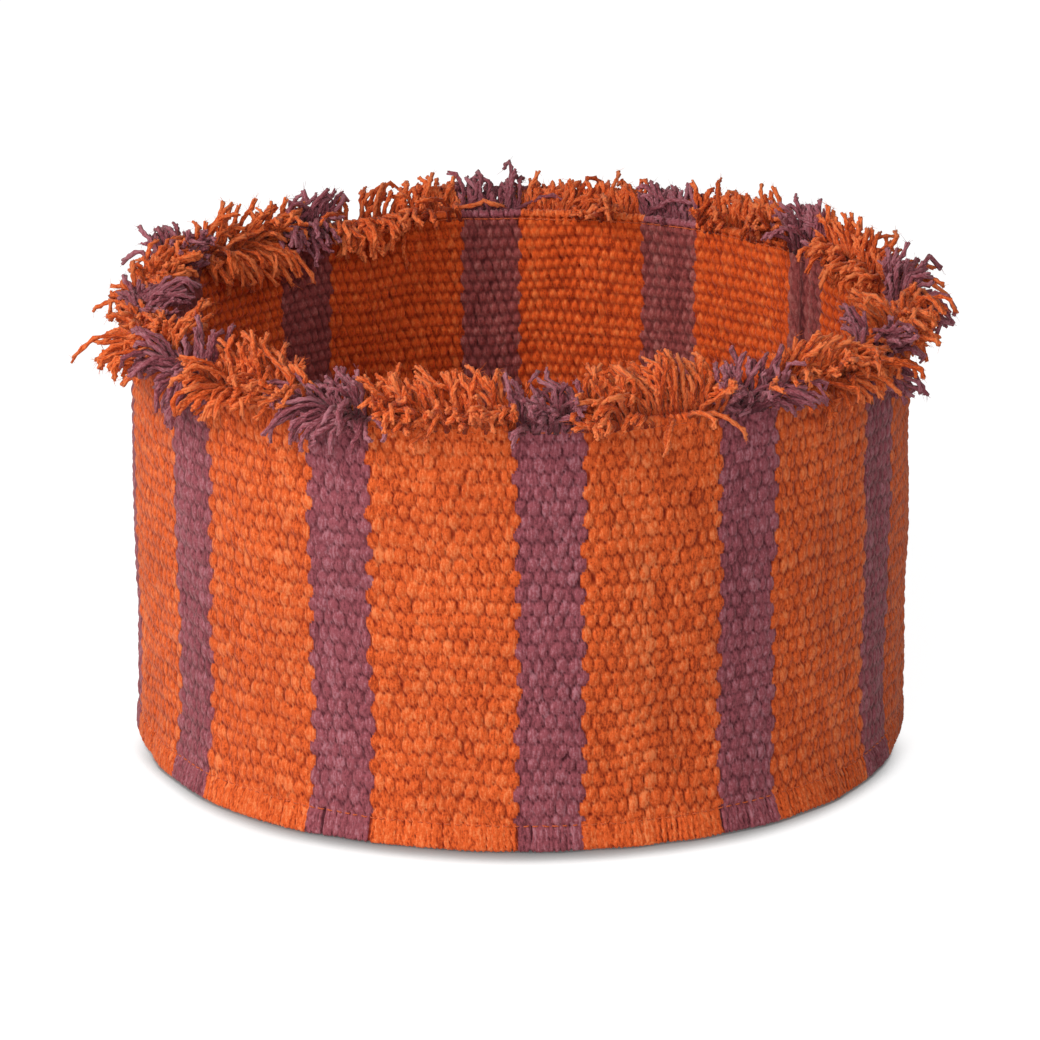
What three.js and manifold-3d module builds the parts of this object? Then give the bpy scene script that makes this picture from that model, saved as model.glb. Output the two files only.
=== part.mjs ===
// A round, open basket of thick flat-woven cotton: a striped wall with a hem turned in at the floor,
// a flat round base, and a cut fringe of loose yarn ends all round the rim.
// Millimetres, +Z up. The origin is on the floor under the middle of the base, and -Y is the front.
//
// The cloth is warp-faced: the coloured yarns run up the wall and hide the wefts, so each stripe is
// its own group of yarns. Each stripe is one piece of wall here, and its yarn ends are one tuft of fringe.

import * as THREE from "three";
import { mergeVertices } from "three/addons/utils/BufferGeometryUtils.js";
import Module from "manifold-3d";

const wasm = await Module();
wasm.setup();

// Driving dimensions: the wall
const WALL_RADIUS = 125; // outer face of the cloth
const CLOTH_THICKNESS = 5;
const WALL_HEIGHT = 138; // floor to the edge of the weave, where the fringe starts
const STRIPE_REPEATS = 12; // one plum and one orange stripe in each
const PLUM_WIDTH = 20.5; // along the outer face; the orange stripe takes the rest of the repeat
const FIRST_STRIPE_SHIFT = 9.8; // from the front to the middle of the first plum stripe
const SEAM_STRIPE = 5; // the plum stripe in which the two ends of the cloth meet
const SEAM_STRIPE_WIDTH = 16.5; // that stripe loses some of its width in the seam
const SEAM_SHIFT = 2.5; // from the middle of that stripe to the seam
// How far each plum stripe lies past its even place, because the cloth is bent round by hand
const STRIPE_SHIFTS = [0.8, 0.8, 2.2, 2.2, 7.9, 3, 1.6, 6.5, 4.4, 2.2, 0.7, -0.9];

// Driving dimensions: the edges of the cloth
const FLOOR_ROUNDING = 2; // where the wall turns under, on the outside
const EDGE_ROUNDING = 1.5; // every other edge of the cloth
const HEM_THICKNESS = 3.5; // of the layer that is turned in at the floor
const HEM_MARGIN = 5; // how far that layer climbs past its stitching
const BASE_THICKNESS = 5;

// Driving dimensions: the stitching
const HEM_STITCH_RISE = 3; // from the top of the base to the line of stitching above it
const RIM_STITCH_MARGIN = 0.5; // from the stitched dip to the rounded edge of the weave
const STITCH_GROOVE_DEPTH = 0.8; // how far a stitched line pulls the cloth in
const STITCH_GROOVE_WIDTH = 3;
const THREAD_THICKNESS = 0.7;

// Driving dimensions: the fringe
const YARN_THICKNESS = 2.6;
const YARN_CLEARANCE = 0.4; // between one cut end and the next along the rim
const YARN_LENGTH = 13; // of an end that stands upright
const YARN_EXTRA = 7; // how much longer an end is that arches right over
const BUNDLE_HEIGHT = 3; // the packed yarns above the weave, before they part
const BUNDLE_INSET = 0.4; // how far the packed yarns draw in from the faces of the cloth
const FRONT_LEAN = 0.66; // 0 stands upright and 1 arches right over, at the front
const BACK_LEAN = 0.52; // the same, at the back
const LEAN_SPREAD = 0.34; // how far single ends lean more or less than their neighbours
const ROOT_BEND = THREE.MathUtils.degToRad(52); // the lower half of an end that arches right over
const TIP_BEND = THREE.MathUtils.degToRad(122); // its upper half, which hangs below level

// Clearance between neighbours, and the facets that stand for round faces
const FIT = 0.3;
const FACET_ANGLE = THREE.MathUtils.degToRad(5.2); // the widest facet of a wall
const YARN_SIDES = 3;
const YARN_STEPS = 3;
const FLOOR_STEPS = 2;

// What follows from them
const FULL_TURN = 2 * Math.PI;
const REPEAT_ANGLE = FULL_TURN / STRIPE_REPEATS;
const FIRST_ANGLE = FIRST_STRIPE_SHIFT / WALL_RADIUS;
const INNER_RADIUS = WALL_RADIUS - CLOTH_THICKNESS;
const HEM_RADIUS = INNER_RADIUS - HEM_THICKNESS;
const ROOT_RADIUS = WALL_RADIUS - CLOTH_THICKNESS / 2;
const GAP_ANGLE = FIT / HEM_RADIUS;
const FACET_SHRINK = Math.cos(FACET_ANGLE / 2); // a facet's middle over its corners, from the axis
const RING_FACETS = Math.ceil(FULL_TURN / FACET_ANGLE);
const HEM_STITCH_HEIGHT = BASE_THICKNESS + HEM_STITCH_RISE;
const HEM_HEIGHT = HEM_STITCH_HEIGHT + HEM_MARGIN;
const RIM_STITCH_HEIGHT = WALL_HEIGHT - EDGE_ROUNDING - RIM_STITCH_MARGIN - STITCH_GROOVE_WIDTH / 2;
const RIM_HEIGHT = WALL_HEIGHT + FIT; // underside of the fringe

// Materials
const cotton = (color) => new THREE.MeshStandardMaterial({ color, roughness: 0.95, metalness: 0 });
const ORANGE_COTTON = cotton(0xcb5c2f);
const PLUM_COTTON = cotton(0x874950);
const ORANGE_THREAD = cotton(0xd9662e);

// A point at a height, an angle from the front and a distance from the axis.
function around(radius, angle, height) {
  return new THREE.Vector3(radius * Math.sin(angle), -radius * Math.cos(angle), height);
}

// The level arc, at a distance from the axis, along which a wall section is swept.
class LevelArc extends THREE.Curve {
  constructor(radius, start, end) {
    super();
    Object.assign(this, { radius, start, end });
  }
  angleAt(t) {
    return this.start + (this.end - this.start) * t;
  }
  getPoint(t) {
    return around(this.radius, this.angleAt(t), 0);
  }
  getTangent(t) {
    const angle = this.angleAt(t);
    return new THREE.Vector3(Math.cos(angle), Math.sin(angle), 0);
  }
}

// Sweeps a section round the axis from one angle to another. The section is a list of
// [distance from the axis, height], and a swept shape's x is downwards and its y is inwards.
function sweptPiece(section, start, end) {
  const outline = section.map(([radius, height]) => new THREE.Vector2(-height, WALL_RADIUS - radius));
  return new THREE.ExtrudeGeometry(new THREE.Shape(outline), {
    extrudePath: new LevelArc(WALL_RADIUS, start, end),
    steps: Math.max(1, Math.ceil((end - start) / FACET_ANGLE - 1e-6)),
    bevelEnabled: false,
  });
}

// A rounded corner of a section: a quarter turn about a centre, as points. fromTurn counts quarters,
// from 0 where the corner faces away from the axis.
function corner(centreRadius, centreHeight, rounding, fromTurn, steps = 1) {
  return Array.from({ length: steps + 1 }, (_, i) => {
    const turn = ((fromTurn + i / steps) * Math.PI) / 2;
    return [centreRadius + rounding * Math.cos(turn), centreHeight + rounding * Math.sin(turn)];
  });
}

// The shallow dip that a line of stitching pulls into the outer face.
function stitchGroove(height) {
  const half = STITCH_GROOVE_WIDTH / 2;
  return [
    [WALL_RADIUS, height - half],
    [WALL_RADIUS - STITCH_GROOVE_DEPTH, height],
    [WALL_RADIUS, height + half],
  ];
}

// The wall's section, from the floor up the outside and down the inside to the turned-in hem.
function wallSection() {
  const top = WALL_HEIGHT - EDGE_ROUNDING;
  return [
    ...corner(WALL_RADIUS - FLOOR_ROUNDING, FLOOR_ROUNDING, FLOOR_ROUNDING, 3, FLOOR_STEPS),
    ...stitchGroove(HEM_STITCH_HEIGHT),
    ...stitchGroove(RIM_STITCH_HEIGHT),
    ...corner(WALL_RADIUS - EDGE_ROUNDING, top, EDGE_ROUNDING, 0),
    ...corner(INNER_RADIUS + EDGE_ROUNDING, top, EDGE_ROUNDING, 1),
    [INNER_RADIUS, HEM_HEIGHT + EDGE_ROUNDING],
    ...corner(HEM_RADIUS + EDGE_ROUNDING, HEM_HEIGHT - EDGE_ROUNDING, EDGE_ROUNDING, 1),
    ...corner(HEM_RADIUS + EDGE_ROUNDING, EDGE_ROUNDING, EDGE_ROUNDING, 2),
  ];
}

// The yarns just above the weave, still packed together, which all of a tuft's ends grow from.
function bundleSection() {
  const top = RIM_HEIGHT + BUNDLE_HEIGHT;
  return [
    [INNER_RADIUS + BUNDLE_INSET, RIM_HEIGHT],
    [WALL_RADIUS - BUNDLE_INSET, RIM_HEIGHT],
    [WALL_RADIUS - BUNDLE_INSET, top],
    [INNER_RADIUS + BUNDLE_INSET, top],
  ];
}

// A share between 0 and 1 that never repeats along the rim, by steps of the golden ratio.
const scatter = (index) => (index * 0.618034) % 1;

// The path of one cut end. It stays in the upright plane through the axis, so no two cross: its lower
// half leans by a share of ROOT_BEND and its upper half by the same share of TIP_BEND.
function yarnPath(angle, index) {
  const front = (1 + Math.cos(angle)) / 2;
  const usual = BACK_LEAN + (FRONT_LEAN - BACK_LEAN) * front;
  const lean = usual + LEAN_SPREAD * (2 * scatter(index) - 1);
  const half = (YARN_LENGTH + YARN_EXTRA * lean) / 2;
  const layer = (index % 2 ? 1 : -1) * (YARN_THICKNESS / 4);
  const root = [ROOT_RADIUS + layer, RIM_HEIGHT + BUNDLE_HEIGHT - YARN_THICKNESS / 2];
  const bend = [root[0] + half * Math.sin(lean * ROOT_BEND), root[1] + half * Math.cos(lean * ROOT_BEND)];
  const tip = [bend[0] + half * Math.sin(lean * TIP_BEND), bend[1] + half * Math.cos(lean * TIP_BEND)];
  const [a, b, c] = [root, bend, tip].map(([radius, height]) => around(radius, angle, height));
  return new THREE.QuadraticBezierCurve3(a, b, c);
}

function yarnEnd(angle, index) {
  const round = Array.from({ length: YARN_SIDES }, (_, i) => {
    const turn = (i / YARN_SIDES) * FULL_TURN;
    return new THREE.Vector2(Math.cos(turn), Math.sin(turn)).multiplyScalar(YARN_THICKNESS / 2);
  });
  return new THREE.ExtrudeGeometry(new THREE.Shape(round), {
    extrudePath: yarnPath(angle, index),
    steps: YARN_STEPS,
    bevelEnabled: false,
  });
}

// A geometry as a solid that can be joined, and back.
function solidOf(geometry) {
  geometry.deleteAttribute("normal");
  geometry.deleteAttribute("uv");
  const merged = mergeVertices(geometry, 1e-4);
  return new wasm.Manifold(
    new wasm.Mesh({
      numProp: 3,
      vertProperties: merged.attributes.position.array,
      triVerts: new Uint32Array(merged.index.array),
    }),
  );
}

function geometryOf(solid) {
  const { vertProperties, triVerts } = solid.getMesh();
  const geometry = new THREE.BufferGeometry()
    .setAttribute("position", new THREE.BufferAttribute(new Float32Array(vertProperties), 3))
    .setIndex(new THREE.BufferAttribute(new Uint32Array(triVerts), 1));
  geometry.computeVertexNormals();
  return geometry;
}

// One tuft: the packed yarns over one stripe, with its cut ends side by side in lanes of their own.
let endsMade = 0;
function tuft(start, end) {
  const spacing = YARN_THICKNESS + YARN_CLEARANCE;
  const lanes = Math.max(1, Math.floor(((end - start) * ROOT_RADIUS) / spacing));
  let solid = solidOf(sweptPiece(bundleSection(), start, end));
  for (let lane = 0; lane < lanes; lane++) {
    const angle = start + ((lane + 0.5) / lanes) * (end - start);
    solid = solid.add(solidOf(yarnEnd(angle, endsMade++)));
  }
  return geometryOf(solid);
}

const basket = new THREE.Group();

function add(name, geometry, material) {
  const mesh = new THREE.Mesh(geometry, material);
  mesh.name = name;
  basket.add(mesh);
}

// A stripe's number as two digits, for names that sort in order round the basket.
const numbered = (name, number) => `${name}_${String(number).padStart(2, "0")}`;

// Where a plum stripe starts, has its middle and ends.
function plumAngles(number) {
  const shift = STRIPE_SHIFTS[(number - 1) % STRIPE_SHIFTS.length];
  const middle = FIRST_ANGLE + (number - 1) * REPEAT_ANGLE + shift / WALL_RADIUS;
  const half = (number === SEAM_STRIPE ? SEAM_STRIPE_WIDTH : PLUM_WIDTH) / WALL_RADIUS / 2;
  return [middle - half, middle, middle + half];
}

// The stripes of wall and their tufts, round the basket from the front to the right.
function addStripes() {
  for (let number = 1; number <= STRIPE_REPEATS; number++) {
    const [start, middle, end] = plumAngles(number);
    const [nextStart] = number < STRIPE_REPEATS ? plumAngles(number + 1) : [plumAngles(1)[0] + FULL_TURN];
    const plumStart = start + GAP_ANGLE / 2;
    const plumEnd = end - GAP_ANGLE / 2;
    const orangeStart = end + GAP_ANGLE / 2;
    const orangeEnd = nextStart - GAP_ANGLE / 2;
    const plumName = numbered("plum_stripe", number);
    if (number === SEAM_STRIPE) {
      const seam = middle + SEAM_SHIFT / WALL_RADIUS;
      const before = seam - GAP_ANGLE / 2;
      const after = seam + GAP_ANGLE / 2;
      add(`${plumName}_cloth_end`, sweptPiece(wallSection(), plumStart, before), PLUM_COTTON);
      add(`${plumName}_cloth_start`, sweptPiece(wallSection(), after, plumEnd), PLUM_COTTON);
      addSeamThread(seam);
    } else {
      add(plumName, sweptPiece(wallSection(), plumStart, plumEnd), PLUM_COTTON);
    }
    add(numbered("orange_stripe", number), sweptPiece(wallSection(), orangeStart, orangeEnd), ORANGE_COTTON);
    add(numbered("plum_fringe", number), tuft(plumStart, plumEnd), PLUM_COTTON);
    add(numbered("orange_fringe", number), tuft(orangeStart, orangeEnd), ORANGE_COTTON);
  }
}

// The thread that joins the two ends of the cloth, upright on the inside between hem and rim stitching.
function addSeamThread(seam) {
  const low = HEM_HEIGHT + EDGE_ROUNDING;
  const high = RIM_STITCH_HEIGHT - STITCH_GROOVE_WIDTH;
  const outer = INNER_RADIUS * FACET_SHRINK - FIT;
  const thread = new THREE.CylinderGeometry(THREAD_THICKNESS / 2, THREAD_THICKNESS / 2, high - low, 6);
  thread.rotateX(Math.PI / 2);
  const place = around(outer - THREAD_THICKNESS / 2, seam, (low + high) / 2);
  thread.translate(place.x, place.y, place.z);
  add("side_seam_thread", thread, PLUM_COTTON);
}

// One line of stitching against a face of the cloth. side is 1 on its outside and -1 on its inside.
function addStitching(name, faceRadius, height, side) {
  const near = side > 0 ? (faceRadius + FIT) / FACET_SHRINK : faceRadius * FACET_SHRINK - FIT;
  const half = THREAD_THICKNESS / 2;
  const section = [
    [near, height],
    [near + side * half, height - side * half],
    [near + side * THREAD_THICKNESS, height],
    [near + side * half, height + side * half],
    [near, height],
  ].map(([radius, z]) => new THREE.Vector2(radius, z));
  const ring = new THREE.LatheGeometry(section, RING_FACETS);
  ring.rotateX(Math.PI / 2);
  add(name, ring, ORANGE_THREAD);
}

// The round base lies inside the turned-in hem, its underside level with the hem's on the floor.
function addBase() {
  const radius = HEM_RADIUS * FACET_SHRINK - FIT;
  const section = [
    [0, 0],
    [radius - EDGE_ROUNDING, 0],
    [radius, EDGE_ROUNDING],
    [radius, BASE_THICKNESS - EDGE_ROUNDING],
    [radius - EDGE_ROUNDING, BASE_THICKNESS],
    [0, BASE_THICKNESS],
  ].map(([distance, z]) => new THREE.Vector2(distance, z));
  const disc = new THREE.LatheGeometry(section, RING_FACETS);
  disc.rotateX(Math.PI / 2);
  add("base_disc", disc, ORANGE_COTTON);
}

addBase();
addStripes();
addStitching("rim_needle_thread", WALL_RADIUS - STITCH_GROOVE_DEPTH, RIM_STITCH_HEIGHT, 1);
addStitching("rim_bobbin_thread", INNER_RADIUS, RIM_STITCH_HEIGHT, -1);
addStitching("hem_needle_thread", WALL_RADIUS - STITCH_GROOVE_DEPTH, HEM_STITCH_HEIGHT, 1);
addStitching("hem_bobbin_thread", HEM_RADIUS, HEM_STITCH_HEIGHT, -1);

export default basket;
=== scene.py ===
"""The looks of a round striped cotton basket with a fringed rim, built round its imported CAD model.

The wall is one strip of warp-faced cloth bent into a ring: plum and orange warp yarns run up the
wall, pass in turn over and under wefts that they hide, and end as the loose fringe. Sizes are in
millimetres until a mesh is filled. Angles run from the front, -Y, towards +X.
"""

import logging
import math
from dataclasses import dataclass
from enum import Enum
from typing import NamedTuple

import bpy
import numpy as np
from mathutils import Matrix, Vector


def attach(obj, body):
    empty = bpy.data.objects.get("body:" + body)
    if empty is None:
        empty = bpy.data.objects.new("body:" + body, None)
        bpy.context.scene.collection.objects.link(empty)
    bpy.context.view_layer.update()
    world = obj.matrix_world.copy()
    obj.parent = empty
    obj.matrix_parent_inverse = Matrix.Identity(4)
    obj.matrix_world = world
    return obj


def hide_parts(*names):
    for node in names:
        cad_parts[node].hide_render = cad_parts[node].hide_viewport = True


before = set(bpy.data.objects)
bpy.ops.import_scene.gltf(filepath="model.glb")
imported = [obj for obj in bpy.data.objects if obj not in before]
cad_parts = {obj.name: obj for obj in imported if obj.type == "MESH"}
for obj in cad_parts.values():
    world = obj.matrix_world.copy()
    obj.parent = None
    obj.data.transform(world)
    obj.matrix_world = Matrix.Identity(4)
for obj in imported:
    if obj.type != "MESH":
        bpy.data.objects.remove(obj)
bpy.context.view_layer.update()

logging.basicConfig(level=logging.INFO, format="%(name)s: %(message)s")
log = logging.getLogger("basket")


MM = 0.001
TURN = 2 * math.pi
UP = np.array([0.0, 0.0, 1.0])
# Lower than any yarn's crown.
BURIED = -9.0
# Keeps a division from meeting zero.
TINY = 1e-9


def linear(red: float, green: float, blue: float) -> tuple[float, float, float, float]:
    """Turns a display colour into a linear one: ((c + 0.055) / 1.055) to the power 2.4.

    Args:
        red: Red from 0 to 255.
        green: Green from 0 to 255.
        blue: Blue from 0 to 255.

    Returns:
        The linear colour with an alpha of 1.
    """
    share = [c / 255 for c in (red, green, blue)]
    made = [c / 12.92 if c <= 0.04045 else ((c + 0.055) / 1.055) ** 2.4 for c in share]
    return (made[0], made[1], made[2], 1.0)


def smooth(low: float, high: float, value: np.ndarray) -> np.ndarray:
    """A soft step from 0 at low to 1 at high, 3t^2 - 2t^3.

    Args:
        low: Where the step starts.
        high: Where it ends.
        value: The numbers to step.

    Returns:
        The steps, one for each number.
    """
    t = np.clip((value - low) / (high - low), 0, 1)
    return t * t * (3 - 2 * t)


class Dye(Enum):
    """The two colours of yarn, with the record's material slot of each."""

    PLUM = "plum_cotton"
    ORANGE = "orange_cotton"


class Face(Enum):
    """The two faces of the cloth."""

    OUTSIDE = 0
    INSIDE = 1


def bell(away: np.ndarray, width: float) -> np.ndarray:
    """A bell: exp(-(away / width)^2)."""
    return np.exp(-((away / width) ** 2))


def node_name(dye: Dye, kind: str, number: int) -> str:
    """The CAD's name of a stripe or a tuft, such as plum_stripe_01."""
    return f"{dye.name.lower()}_{kind}_{number:02d}"


class Value:
    """A socket of a shader, on which Python's operators add Math nodes."""

    def __init__(self, graph: "Graph", socket: bpy.types.NodeSocket) -> None:
        """Wraps a socket of a graph."""
        self.graph = graph
        self.socket = socket

    def __add__(self, other: "Value | float") -> "Value":
        """This value plus the other."""
        return self.graph.math("ADD", self, other)

    def __radd__(self, other: float) -> "Value":
        """The other value plus this one."""
        return self.graph.math("ADD", other, self)

    def __sub__(self, other: "Value | float") -> "Value":
        """This value less the other."""
        return self.graph.math("SUBTRACT", self, other)

    def __rsub__(self, other: float) -> "Value":
        """The other value less this one."""
        return self.graph.math("SUBTRACT", other, self)

    def __mul__(self, other: "Value | float") -> "Value":
        """This value times the other."""
        return self.graph.math("MULTIPLY", self, other)

    def __rmul__(self, other: float) -> "Value":
        """The other value times this one."""
        return self.graph.math("MULTIPLY", other, self)


class Graph:
    """The nodes of one material or world, made through one method."""

    def __init__(self, tree: bpy.types.NodeTree) -> None:
        """Starts an empty graph in a node tree."""
        self.tree = tree
        tree.nodes.clear()

    def make(self, kind: str, settings: dict | None = None, inputs: dict | None = None) -> bpy.types.Node:
        """Makes a node, then sets it, then fills or links its sockets.

        Args:
            kind: The node's type, such as "ShaderNodeMath".
            settings: The node's own properties.
            inputs: A value, socket or Value for each socket, by name or number.

        Returns:
            The node.
        """
        node = self.tree.nodes.new(kind)
        for name, value in (settings or {}).items():
            setattr(node, name, value)
        for name, value in (inputs or {}).items():
            if isinstance(value, Value):
                self.tree.links.new(value.socket, node.inputs[name])
            elif isinstance(value, bpy.types.NodeSocket):
                self.tree.links.new(value, node.inputs[name])
            else:
                node.inputs[name].default_value = value
        return node

    def math(self, operation: str, *terms: "Value | float") -> Value:
        """Adds a Math node on two terms."""
        node = self.make("ShaderNodeMath", {"operation": operation}, dict(enumerate(terms)))
        return Value(self, node.outputs[0])

    def mix(self, factor: "Value | float", a: object, b: object, blend: str = "MIX") -> bpy.types.NodeSocket:
        """Mixes colour a with colour b by factor.

        Args:
            factor: How much of b shows.
            a: The first colour or its socket.
            b: The second colour or its socket.
            blend: The Mix node's blend type.

        Returns:
            The mixed colour's socket.
        """
        settings = {"data_type": "RGBA", "blend_type": blend}
        return self.make("ShaderNodeMix", settings, {0: factor, 6: a, 7: b}).outputs[2]

    def attribute(self, name: str) -> Value:
        """Reads one of the mesh's own numbers."""
        node = self.make("ShaderNodeAttribute", {"attribute_name": name})
        return Value(self, node.outputs["Fac"])

    def step(self, value: Value, low: float, high: float, start: float = 0.0, end: float = 1.0) -> Value:
        """Carries a value softly from start at low to end at high."""
        inputs = {"Value": value, "From Min": low, "From Max": high, "To Min": start, "To Max": end}
        node = self.make("ShaderNodeMapRange", {"interpolation_type": "SMOOTHSTEP"}, inputs)
        return Value(self, node.outputs[0])

    def rising(self, value: Value, low: float, high: float, most: float) -> Value:
        """Carries a value softly from 0 at low to most at high."""
        return self.step(value, low, high, 0.0, most)

    def noise(self, vector: object, scale: float, detail: float = 2.0, roughness: float = 0.5) -> Value:
        """Reads a noise between 0 and 1 at a vector."""
        inputs = {"Vector": vector, "Scale": scale, "Detail": detail, "Roughness": roughness}
        return Value(self, self.make("ShaderNodeTexNoise", None, inputs).outputs[0])

    def turned(self, vector: object, turn: tuple, scale: tuple) -> bpy.types.NodeSocket:
        """Turns a vector by angles in degrees, after scaling it."""
        inputs = {"Vector": vector, "Rotation": [math.radians(a) for a in turn], "Scale": scale}
        return self.make("ShaderNodeMapping", {"vector_type": "POINT"}, inputs).outputs[0]

    def seen(self) -> Value:
        """Is 1 on the rays that show the studio itself: camera, glossy and transmission rays."""
        path = self.make("ShaderNodeLightPath")
        camera, glossy, through = (
            Value(self, path.outputs[f"Is {kind} Ray"]) for kind in ("Camera", "Glossy", "Transmission")
        )
        return self.math("MAXIMUM", camera, self.math("MAXIMUM", glossy, through))


@dataclass(frozen=True)
class FibreFinish:
    """What every finish of the basket shares: fibres on a UV map in millimetres, with their bump."""

    name: str

    def dress(self, g: Graph, place: bpy.types.NodeSocket, run: bpy.types.NodeSocket) -> tuple[dict, dict]:
        """Makes the finish's own nodes.

        Args:
            g: The material's graph.
            place: The Object coordinates.
            run: The UV map, in millimetres across and along the fibres.

        Returns:
            The inputs of the shader and of the bump.
        """
        raise NotImplementedError

    def material(self) -> bpy.types.Material:
        """Makes the finish.

        Returns:
            The material.
        """
        made = bpy.data.materials.new(self.name)
        made.use_nodes = True
        g = Graph(made.node_tree)
        place = g.make("ShaderNodeTexCoord").outputs["Object"]
        run = g.make("ShaderNodeUVMap", {"uv_map": "cloth"}).outputs[0]
        look, relief = self.dress(g, place, run)
        look["Normal"] = g.make("ShaderNodeBump", None, relief).outputs[0]
        shader = g.make("ShaderNodeBsdfPrincipled", None, look)
        g.make("ShaderNodeOutputMaterial", None, {"Surface": shader.outputs[0]})
        return made


@dataclass(frozen=True)
class CottonFinish(FibreFinish):
    """Cotton yarn, plum or orange by the mesh's own "plum" number.

    The mesh gives "plum" (0 orange, 1 plum), "tint" (a number about 0 for each yarn), a number of painted
    shade (0 on a yarn's crown, 1 in the crevice beside it) and "inside" (1 on the inside face, which is
    painted deeper and more saturated for light bounced between the walls). A share says from which value, to
    which and up to how much a colour is mixed in.
    """

    orange: tuple = linear(223, 95, 40)
    # The deep colours serve both for darker fibres and patches at random and for painted shade.
    orange_deep: tuple = linear(112, 18, 2)
    orange_pale: tuple = linear(246, 144, 88)
    plum: tuple = linear(150, 77, 86)
    plum_deep: tuple = linear(70, 24, 33)
    plum_pale: tuple = linear(186, 126, 136)
    # Painted shade on the inside face: this multiplier makes it deeper and more saturated, for light bounced
    # between the walls.
    inside: tuple = (1.02, 0.90, 0.67, 1.0)
    pale_share: tuple = (0.50, 0.61, 0.66)
    deep_share: tuple = (0.49, 0.38, 0.62)
    patch_share: tuple = (0.35, 0.75, 0.16)
    crevice_shade_share: tuple = (0.22, 0.85, 0.92)
    fibre_share: float = 0.80
    inside_calm: float = 0.12
    tint_share: float = 0.028
    fibre_turn: float = 26.0
    fibre_pitch: float = 0.80
    fibre_stretch: float = 0.30
    fibre_height: float = 0.46
    fibre_weight: float = 0.68
    fibre_lift: float = 0.6
    fuzz_scale: float = 1500.0
    patch_scale: float = 34.0
    roughness: float = 0.88
    roughness_spread: float = 0.06
    sheen: float = 0.20
    sheen_roughness: float = 0.45
    sheen_tint: tuple = (1.0, 0.82, 0.74, 1.0)
    gloss: float = 0.16
    bump: float = 0.8

    def dress(self, g: Graph, place: bpy.types.NodeSocket, run: bpy.types.NodeSocket) -> tuple[dict, dict]:
        """Mixes the yarn's colour with its tint, its crevices and its fibres.

        Args:
            g: The material's graph.
            place: The Object coordinates.
            run: The UV map, in millimetres across and along the yarn.

        Returns:
            The inputs of the shader and of the bump.
        """
        plum = g.step(g.attribute("plum"), 0.35, 0.65)
        depth, tint, inside = g.attribute("depth"), g.attribute("tint"), g.attribute("inside")
        across = 1 / self.fibre_pitch
        slant = g.turned(run, (0, 0, self.fibre_turn), (across, across * self.fibre_stretch, 1))
        fibres = g.noise(slant, 1.0, 3.0, 0.58)
        fuzz = g.noise(place, self.fuzz_scale, 2.0, 0.55)
        patches = g.noise(place, self.patch_scale, 3.0, 0.55)
        yarn = g.mix(plum, self.orange, self.plum)
        deep = g.mix(plum, self.orange_deep, self.plum_deep)
        pale = g.mix(plum, self.orange_pale, self.plum_pale)
        calm = self.fibre_share - self.inside_calm * inside
        mixed = self.fibre_weight * fibres + (1 - self.fibre_weight) * fuzz
        mottle = 0.5 + calm * (mixed - 0.5) + self.tint_share * tint
        colour = g.mix(g.rising(mottle, *self.pale_share), yarn, pale)
        colour = g.mix(g.rising(mottle, *self.deep_share), colour, deep)
        colour = g.mix(g.rising(patches, *self.patch_share), colour, deep)
        # Painted shade: the deep colour is mixed in by the mesh's shade number, most in crevices.
        colour = g.mix(g.rising(depth, *self.crevice_shade_share), colour, deep)
        # Painted shade: the inside face is multiplied deeper and more saturated.
        colour = g.mix(inside, colour, g.mix(1.0, colour, self.inside, "MULTIPLY"))
        least, most = self.roughness - self.roughness_spread, self.roughness + self.roughness_spread
        look = {
            "Base Color": colour,
            "Roughness": g.step(fuzz, 0.2, 0.8, least, most),
            "Specular IOR Level": self.gloss,
            "Sheen Weight": self.sheen,
            "Sheen Roughness": self.sheen_roughness,
            "Sheen Tint": self.sheen_tint,
        }
        height = calm * (self.fibre_lift * fibres + (1 - self.fibre_lift) * fuzz)
        return look, {"Strength": self.bump, "Distance": self.fibre_height * MM, "Height": height}


@dataclass(frozen=True)
class ThreadFinish(FibreFinish):
    """Sewing thread: a smooth, slightly shiny twist of one colour, with painted shade in the groove between
    plies.
    """

    colour: tuple
    shade: tuple
    twist_pitch: float = 0.55
    twist_slant: float = 38.0
    ply_height: float = 0.10
    ply_scale: float = 0.32
    ply_share: float = 0.7
    ply_lift: float = 0.8
    fuzz_scale: float = 3200.0
    fuzz_share: float = 0.3
    roughness: tuple = (0.5, 0.66)
    sheen: float = 0.1
    gloss: float = 0.35
    bump: float = 0.7

    def dress(self, g: Graph, place: bpy.types.NodeSocket, run: bpy.types.NodeSocket) -> tuple[dict, dict]:
        """Makes the slanting plies.

        Args:
            g: The material's graph.
            place: The Object coordinates.
            run: The UV map, in millimetres across and along the thread.

        Returns:
            The inputs of the shader and of the bump.
        """
        slant = g.turned(run, (0, 0, self.twist_slant), (1 / self.twist_pitch, 1 / self.twist_pitch, 1))
        plies = g.make(
            "ShaderNodeTexWave",
            {"wave_type": "BANDS", "bands_direction": "X"},
            {"Vector": slant, "Scale": self.ply_scale, "Distortion": 0.6, "Detail": 1.0},
        )
        ply = Value(g, plies.outputs["Fac"])
        fuzz = g.noise(place, self.fuzz_scale, 2.0, 0.6)
        # Painted shade in the groove between plies; the fuzz also darkens it at random.
        colour = g.mix(1 - self.ply_share + self.ply_share * ply, self.shade, self.colour)
        look = {
            "Base Color": g.mix(self.fuzz_share * fuzz, colour, self.shade),
            "Roughness": g.step(fuzz, 0.2, 0.8, *self.roughness),
            "Specular IOR Level": self.gloss,
            "Sheen Weight": self.sheen,
        }
        height = self.ply_lift * ply + (1 - self.ply_lift) * fuzz
        return look, {"Strength": self.bump, "Distance": self.ply_height * MM, "Height": height}


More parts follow.
